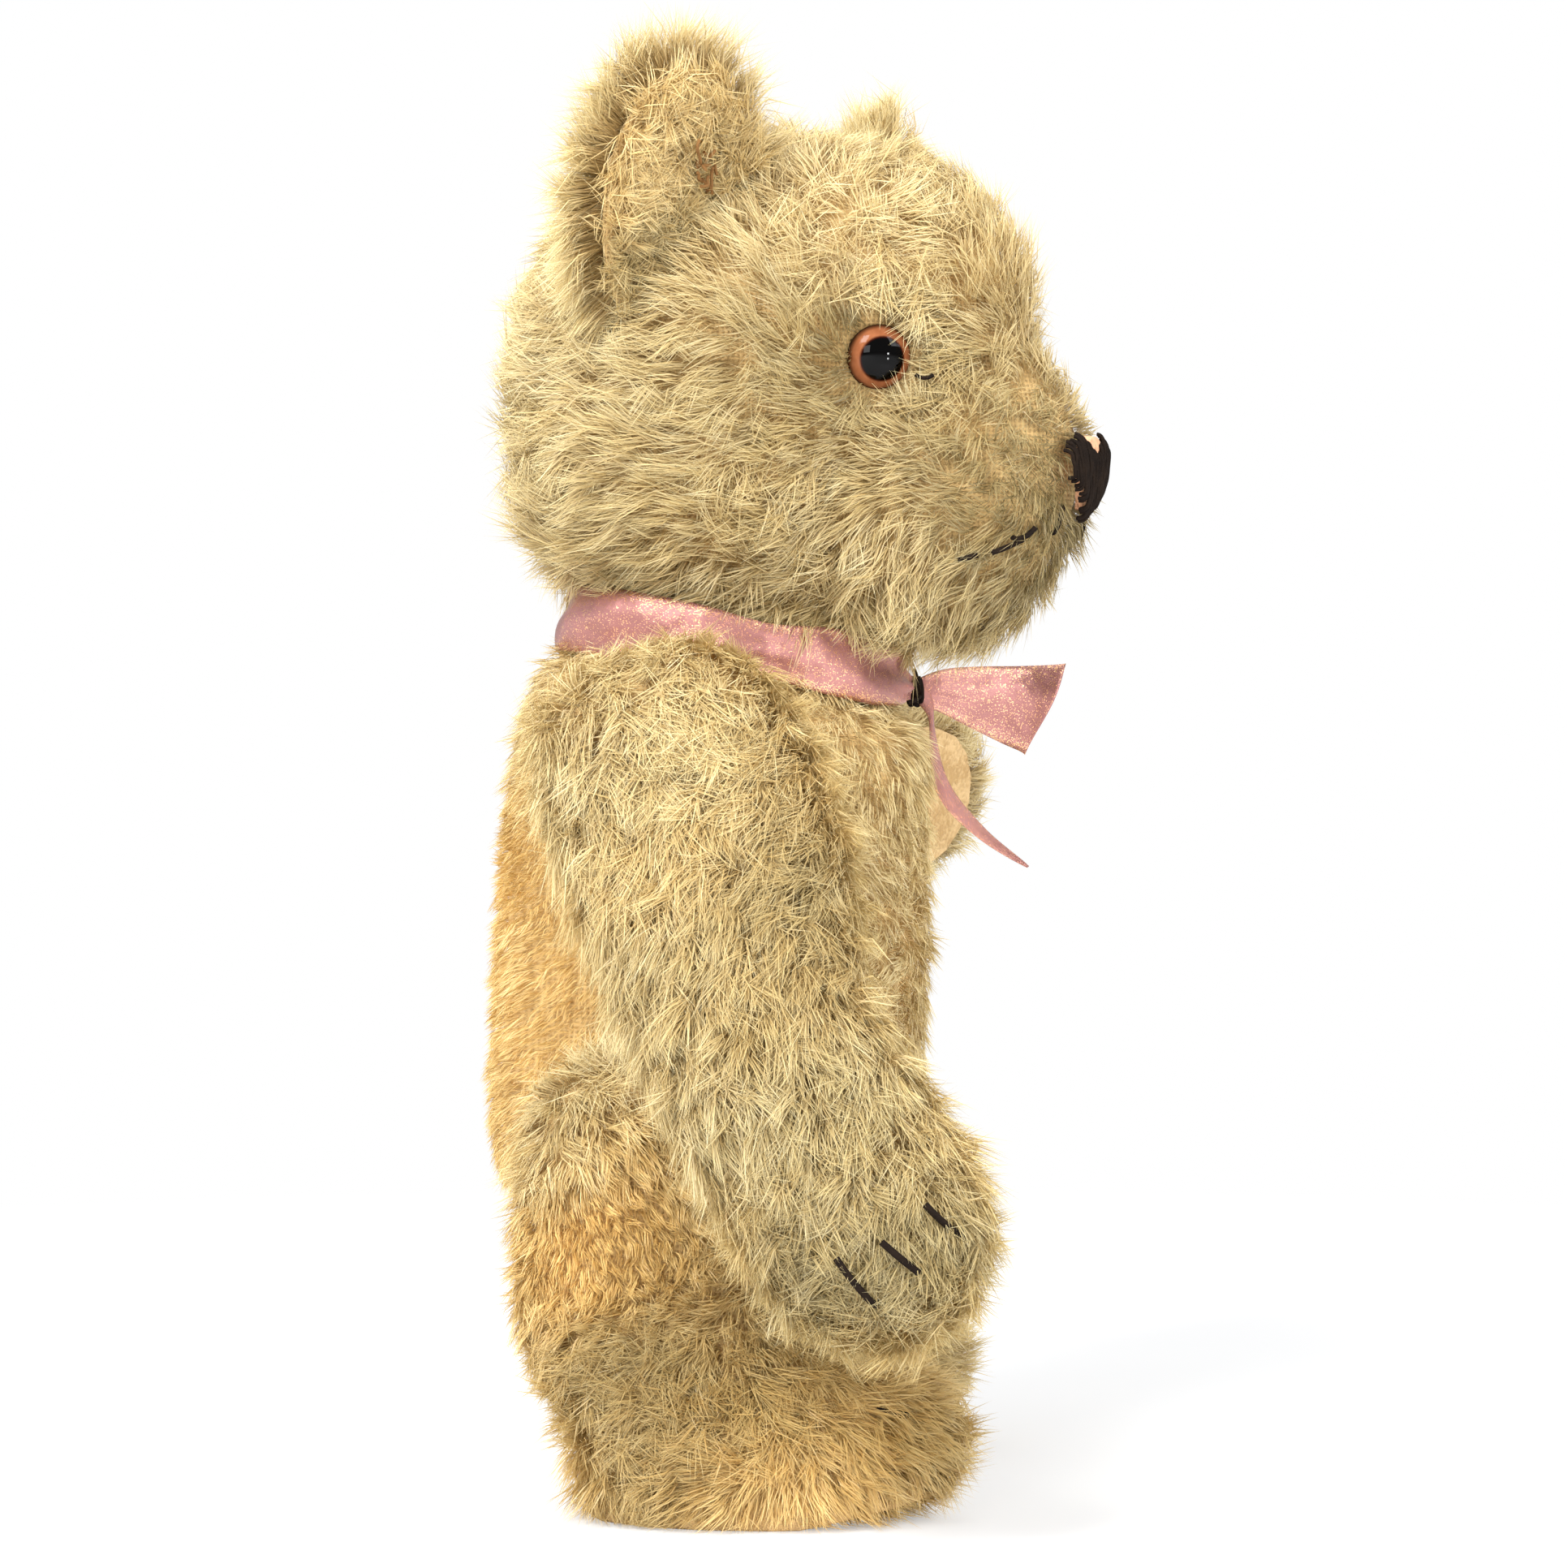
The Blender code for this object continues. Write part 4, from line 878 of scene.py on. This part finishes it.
def limb_keep(child):
    _, out = joint_out(child)
    centre = pad_middle(child)

    def keep(points, normals):
        free = np.ones(len(points))
        free[pressed(points, normals, child, LIMB_PRESSED, -1)] = 0
        if child.endswith("arm"):
            on_pad = (np.linalg.norm(points - centre, axis=1) < PAW_PAD_BARE) & (normals @ out < -0.5)
        else:
            on_pad = (points[:, 2] < SOLE_BARE) & (normals[:, 2] < -0.75)
        free[on_pad] = 0
        return free

    return keep


def arm_style(child):
    place, out = joint_out(child)
    along = pad_middle(child) - place
    reach = np.linalg.norm(along)
    along = along / reach

    def style(points, normals):
        down = ((points - place) @ along) / reach
        paw = soft_step(down, 0.80, 1.25)
        shoulder = 1 - soft_step(down, 0.0, 0.55)
        top = soft_step(points[:, 2], SHOULDER_TOP - 0.018, SHOULDER_TOP - 0.004)
        patches = wander(points, 0.016, 52)
        face = 0.3 + 0.7 * soft_step(normals @ out, 0.1, 0.85)
        return {
            "length": (11.5 - 1.5 * paw - 4.0 * top) * MM,
            "lean": 1.02 - 0.1 * paw,
            "way": along + np.array((0, 0.25, 0)) + 0.42 * wander(points, 0.017, 51),
            "dirt_and_shade": (0.24 - 0.19 * shoulder + 0.24 * paw + (0.07 + 0.10 * paw) * patches[:, 0]) * face,
            "warmth": 0.12 + 0.08 * patches[:, 1],
        }

    return style


def limb(child, count, seed, style):
    skin = skin_of(f"{child}_skin", [f"{child}_cover", f"{child}_stuffing"], child)
    grow_pile(f"{child}_pile", skin, child, count, seed, limb_keep(child), style(child))
    return skin


right_arm_skin = limb("right_arm", count=82000, seed=71, style=arm_style)
limb("left_arm", count=42000, seed=72, style=arm_style)


# Claws, the three stitches of black cotton that are left on each paw
# Those of the right paw lie where the photograph shows them. The left paw's are the same, turned over.
CLAW_PIXELS = (
    ((1140, 1484), (1160, 1506), (1188, 1526)),
    ((1086, 1530), (1106, 1548), (1132, 1568)),
    ((1030, 1550), (1046, 1574), (1068, 1598), (1092, 1624), (1114, 1646)),
)
CLAW_THREAD = 0.66 * MM
CLAW_LIFT = 8.6 * MM
right_claws = [[seen_on(right_arm_skin, pixel, CLAW_LIFT) for pixel in claw] for claw in CLAW_PIXELS]
thread("right_paw_claws", right_claws, CLAW_THREAD, BLACK, "right_arm")


def limb_axes(child):
    """A limb's joint, and its three directions: along to its pad, out of the torso, and across."""
    place, out = joint_out(child)
    along = pad_middle(child) - place
    along -= out * (along @ out)
    along /= np.linalg.norm(along)
    across = np.cross(along, out) * (-1 if child.startswith("left") else 1)
    return place, np.stack([along, out, across])


def on_other(places, child, other):
    """Places of one limb carried over to its twin."""
    start, axes = limb_axes(child)
    twin, twin_axes = limb_axes(other)
    return [Vector(twin + (axes @ (np.array(place) - start)) @ twin_axes) for place in places]


left_claws = [on_other(claw, "right_arm", "left_arm") for claw in right_claws]
thread("left_paw_claws", left_claws, CLAW_THREAD, BLACK, "left_arm")


# Legs, short thick bags of mohair that end in long feet
# They are rubbed down more than the rest: a worn patch on the thigh shows its golden ground, and dirt lies at
# the toes, where a few black stitches are left.
TOE_PIXELS = (
    ((1082, 1732), (1104, 1742), (1118, 1744)),
    ((1158, 1784), (1168, 1794)),
)
TOE_LIFT = 4 * MM
# Heights between which the pile changes
SOLE_EDGE = (0.005, 0.015)
ANKLE = (0.024, 0.036)
HIP = (0.072, 0.086)


def leg_style(child):
    place, out = joint_out(child)
    worn_at = place + out * 18 * MM + np.array((0, 0.002, -0.018))

    def style(points, normals):
        worn = spot(points, worn_at, 11 * MM, 26 * MM)
        patches = wander(points, 0.013, 62)
        ankle = 1 - soft_step(points[:, 2], *ANKLE)
        hip = soft_step(points[:, 2], *HIP)
        way = np.array((0, -0.15, -1.0)) + 0.7 * wander(points, 0.012, 61)
        edge = 1 - soft_step(points[:, 2], *SOLE_EDGE)
        way += np.outer(ankle, (0, -0.4, 0.2)) + np.outer(hip, (0, 0.3, 0.9)) + np.outer(edge, (0, 0, -1.5))
        return {
            "length": (8.6 - 4.2 * worn + 0.8 * ankle + 1.2 * hip + 1.5 * edge) * MM,
            "lean": 0.90 - 0.25 * worn - 0.1 * ankle,
            "way": way,
            "dirt_and_shade": 0.24 + 0.13 * patches[:, 0] - 0.04 * worn - 0.15 * hip,
            "warmth": 0.52 + 0.25 * worn + 0.18 * patches[:, 1] - 0.35 * hip,
            "stray": 1.1 - 0.3 * worn,
        }

    return style


right_leg_skin = limb("right_leg", count=62000, seed=73, style=leg_style)
limb("left_leg", count=36000, seed=74, style=leg_style)
right_toes = [[seen_on(right_leg_skin, pixel, TOE_LIFT) for pixel in claw] for claw in TOE_PIXELS]
thread("right_toe_claws", right_toes, CLAW_THREAD, BLACK, "right_leg")
left_toes = [on_other(claw, "right_leg", "left_leg") for claw in right_toes]
thread("left_toe_claws", left_toes, CLAW_THREAD, BLACK, "left_leg")


# Paw and sole pads, cut from tan felt and sewn into the mohair by their edges
# Their faces are rubbed and mottled.
TAN = felt_look("felt", (0.68, 0.46, 0.22), (0.50, 0.31, 0.125))
PAD_EDGE = 0.7 * MM


def rounded_pad(name, body):
    """A copy of a CAD pad with its edge rounded over and its inner face let down to the sunk skin."""
    _, ways, _ = flat_frame(name, joint_out(body)[0])
    made = bpy.data.objects.new(f"{name}_felt", frame["nodes"][name].data.copy())
    bpy.context.scene.collection.objects.link(made)
    made.data.materials.clear()
    select_only(made)
    bpy.ops.object.mode_set(mode="EDIT")
    bpy.ops.mesh.select_all(action="SELECT")
    bpy.ops.mesh.remove_doubles(threshold=MERGE_WITHIN)
    bpy.ops.mesh.tris_convert_to_quads(face_threshold=0.5)
    bpy.ops.object.mode_set(mode="OBJECT")
    for point in made.data.vertices:
        if point.normal.dot(ways[2]) < -0.3:
            point.co -= Vector(ways[2]) * PILE_ROOM
    edge = made.modifiers.new("edge", "BEVEL")
    edge.width = PAD_EDGE
    edge.segments = 3
    edge.angle_limit = math.radians(50)
    bpy.ops.object.modifier_apply(modifier=edge.name)
    made.data.shade_smooth()
    made.data.materials.append(TAN)
    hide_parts(name)
    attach(made, body)


for side in ("right", "left"):
    rounded_pad(f"{side}_paw_pad", f"{side}_arm")
    rounded_pad(f"{side}_sole_pad", f"{side}_leg")


# Ribbon, one strip of mauve satin with coppery thread at its edges, tied once round the neck
# It is creased lengthwise where the knot gathers it. One end flares forwards, and the other hangs narrow.
RIBBON_FLAT = (0.020, 0.305)
RIBBON_STEPS = 300
RIBBON_ACROSS = 14
RIBBON_SHEET = 0.22 * MM
TAIL_WIDTH = 5.4 * MM
KNOT_WIDTH = 3.6 * MM
OPEN_WIDTH = 10.2 * MM
KNOT_TURN = math.radians(4.5)
OPEN_TURN = math.radians(50)
# Where the ribbon is pinched round the neck, as turn, spread and strength
PINCHES = ((math.radians(92), 0.28, 1.0), (4.4, 0.4, 0.8))
NECK_BACK = np.cross(NECK_AXIS, (1, 0, 0))
ribbon_points = vectors_of(frame["nodes"]["neck_ribbon"].data, "vertices") - NECK_PLACE
ribbon_far = np.linalg.norm(ribbon_points - np.outer(ribbon_points @ NECK_AXIS, NECK_AXIS), axis=1)
RIBBON_RADIUS = float(np.median(ribbon_far[ribbon_points @ NECK_BACK > 0]))
KNOT_RADIUS = 4.0 * MM


def round_neck(turn, radius, height):
    """A place round the neck's axis. Turn 0 is the throat and a quarter turn is the bear's right."""
    flat = np.array((-math.sin(turn), 0, 0)) - NECK_BACK * math.cos(turn)
    return NECK_PLACE + flat * radius + NECK_AXIS * height


THROAT = round_neck(0, RIBBON_RADIUS + KNOT_RADIUS, 0)
# The routes of the hanging end and the flared end, as metres to the left, forward and up from the throat
TAIL_ROUTE = (
    (-0.0021, 0.0240, -0.0370),
    (-0.0021, 0.0140, -0.0300),
    (-0.0016, 0.0060, -0.0210),
    (-0.0011, 0.0035, -0.0110),
    (-0.0011, 0.0030, -0.0035),
    (-0.0011, 0, 0),
)
FLARE_ROUTE = (
    (0.0011, 0, 0),
    (0.0011, 0.0060, 0.0002),
    (0.0031, 0.0140, -0.0010),
    (0.0051, 0.0230, -0.0025),
    (0.0041, 0.0305, -0.0035),
)
TAIL_SHARE = 0.17
FLARE_SHARE = 0.12


def along_route(stops, share):
    """The place at a share of a smooth curve through the stops."""
    stops = np.array([THROAT + np.array((left, -forward, up)) for left, forward, up in stops])
    far_along = share * (len(stops) - 1)
    index = min(int(far_along), len(stops) - 2)
    t = far_along - index
    before, start, end, after = (stops[min(max(index + step, 0), len(stops) - 1)] for step in (-1, 0, 1, 2))
    bend = (end - before) * t + (2 * before - 5 * start + 4 * end - after) * t**2
    return 0.5 * (2 * start + bend + (3 * start - before - 3 * end + after) * t**3)


def ribbon_place(along, across):
    """A place on the ribbon. along runs 0 to 1 from the hanging tip to the flared end, and across -1 to 1."""
    if along < TAIL_SHARE:
        share = along / TAIL_SHARE
        middle = along_route(TAIL_ROUTE, share)
        twist = 0.9 * math.sin(3.2 * share)
        lift = np.array((0.5 * twist, -0.75 * (1 - share), 0.55 + 0.45 * share))
        width = TAIL_WIDTH * (0.10 + 0.90 * min(1, 2.2 * share))
        width += (KNOT_WIDTH - width) * max(0, 4 * share - 3)
        fold = 0.5 * MM * math.cos(2.2 * across) * min(1, 3 * share)
        return middle + lift / np.linalg.norm(lift) * width / 2 * across + np.array((-fold, 0, 0))
    if along > 1 - FLARE_SHARE:
        share = (along - 1 + FLARE_SHARE) / FLARE_SHARE
        middle = along_route(FLARE_ROUTE, share)
        width = KNOT_WIDTH + (RIBBON_FLAT[0] - KNOT_WIDTH) * share**0.8
        lift = np.array((0, -0.22 * share, 1))
        crease = math.exp(-((across - 0.45 - 0.3 * share) ** 2) / 0.02)
        wave = (2.4 * share * math.sin(2.6 * across + 1.0) - 3.0 * share * (1 - share) * crease) * MM
        gather = 0.5 * MM * (1 - share) ** 3 * math.cos(14 * across)
        cut = 2.2 * MM * share**3 * (across - 0.2)
        return middle + lift / np.linalg.norm(lift) * width / 2 * across + np.array((-wave - gather, -cut, 0))
    share = (along - TAIL_SHARE) / (1 - TAIL_SHARE - FLARE_SHARE)
    turn = KNOT_TURN + 2 * (math.pi - KNOT_TURN) * share
    near = min(turn, 2 * math.pi - turn)
    opened = min(1, near / OPEN_TURN)
    width = KNOT_WIDTH + OPEN_WIDTH * opened**0.8
    pinch = sum(strength * math.exp(-(((turn - at) / spread) ** 2)) for at, spread, strength in PINCHES)
    width *= 1 - 0.22 * pinch
    gathers = (1 - opened) * 0.9 + 0.25 * pinch
    wave = gathers * math.cos(9 * across + 1.3) * MM
    wave += 0.4 * MM * math.sin(3.4 * across + 5 * turn) + 0.4 * MM * math.sin(7.3 * turn + 1.7 * across)
    deep = (0.5 + 1.1 * math.sin(1.7 * turn + 0.4) ** 2) * opened * MM
    crease = deep * (1 + math.cos(2.9 * across + 1.6 * math.sin(2.2 * turn)))
    height = 0.6 * MM * math.sin(2.3 * turn) + width / 2 * across
    return round_neck(turn, RIBBON_RADIUS + 0.5 * MM + max(wave, -0.4 * MM) + crease, height)


def satin_look():
    """Long fine floats of silk, with coppery flecks that lie thickest along both edges."""
    look = Look(bpy.data.materials.new("satin_ribbon"))
    flat = look.node("ShaderNodeTexCoord", output="UV")
    across = look.node("ShaderNodeSeparateXYZ", {}, {0: flat}).part("Y")
    floats = look.noise(look.node("ShaderNodeMapping", {}, {0: flat, 3: (340, 34, 1)}), 3.0, 2)
    satin = look.blend(floats, (0.34, 0.135, 0.13), (0.56, 0.26, 0.235))
    cells = look.node("ShaderNodeMapping", {}, {0: flat, 3: (1500, 90, 1)})
    flecks = look.node("ShaderNodeTexVoronoi", {}, {"Vector": cells, "Scale": 1.0}, output="Color")
    chance = look.node("ShaderNodeSeparateXYZ", {}, {0: flecks})
    from_edge = 0.5 - abs(across - 0.5)
    near_edge = look.ramp(from_edge, (0.03, 1.0), (0.20, 0.30))
    glitter = chance > (1.0 - 0.34 * near_edge)
    colour = look.blend(glitter, satin, (0.95, 0.55, 0.30))
    creases = look.noise(look.place(), 95, 2)
    return look.finish(
        Base_Color=colour,
        Roughness=0.26 + 0.06 * floats - 0.05 * glitter,
        Metallic=0.6 + 0.3 * glitter,
        Normal=look.bump(creases + 0.06 * floats, 0.002),
    )


bpy.ops.mesh.primitive_grid_add(x_subdivisions=RIBBON_STEPS, y_subdivisions=RIBBON_ACROSS, size=2)
ribbon = bpy.context.active_object
ribbon.name = "satin_ribbon"
for point in ribbon.data.vertices:
    point.co = ribbon_place((point.co.x + 1) / 2, point.co.y)
thick = ribbon.modifiers.new("thickness", "SOLIDIFY")
thick.thickness = RIBBON_SHEET
bpy.ops.object.modifier_apply(modifier=thick.name)
ribbon.data.shade_smooth()
ribbon.data.materials.append(satin_look())
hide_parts("neck_ribbon")
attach(ribbon, "torso")


# Knot thread, black cotton wound several times round the gathered ribbon at the throat
# Two short ends stick out of it.
KNOT_TURNS = 5
KNOT_STEPS = 12
KNOT_THREAD = 0.48 * MM
draw = np.random.default_rng(91)
wound = []
for step in range(KNOT_TURNS * KNOT_STEPS + 1):
    angle = 2 * math.pi * step / KNOT_STEPS
    radius = (2.9 + 0.25 * math.sin(2.7 * angle)) * MM
    shift = (2.4 * step / (KNOT_TURNS * KNOT_STEPS) - 1.2) * MM
    side = np.array((radius * 0.75 * math.cos(angle), -shift, radius * math.sin(angle)))
    wound.append(THROAT + side + draw.normal(0, 0.06, 3) * MM)
ends = [
    [THROAT + np.array(step) * MM for step in ((-2.2, 0.5, 1.2), (-3.4, 0.2, 3.0), (-3.8, 1.2, 4.6))],
    [THROAT + np.array(step) * MM for step in ((-2.2, -0.5, -1.0), (-3.6, 0.6, -2.0), (-4.0, 2.6, -2.4))],
]
knot = thread("knot_winding", [wound, *ends], KNOT_THREAD, BLACK, "torso")
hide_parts("knot_thread")


# Joints and eye wires, hidden inside: discs of hardboard, and washers, split pins and shanks of steel
# Their plain solids stay as they are and only get their own surfaces.
def board_look():
    look = Look(bpy.data.materials.new("hardboard"))
    grain = look.noise(look.place(), 500, 3)
    colour = look.blend(grain, (0.20, 0.11, 0.055), (0.30, 0.18, 0.09))
    return look.finish(Base_Color=colour, Roughness=0.8)


def steel_look():
    look = Look(bpy.data.materials.new("steel"))
    rust = look.ramp(look.noise(look.place(), 260, 4), (0.52, 0.0), (0.70, 1.0))
    colour = look.blend(rust, (0.45, 0.45, 0.45), (0.20, 0.08, 0.03))
    return look.finish(Base_Color=colour, Roughness=0.35 + 0.4 * rust, Metallic=1 - 0.8 * rust)


board = board_look()
steel = steel_look()
INSIDE = {"disc": board, "washer": steel, "pin": steel, "wire": steel}
for name, node in frame["nodes"].items():
    finish = INSIDE.get(name.split("_")[-1])
    if finish:
        node.data.materials.clear()
        node.data.materials.append(finish)
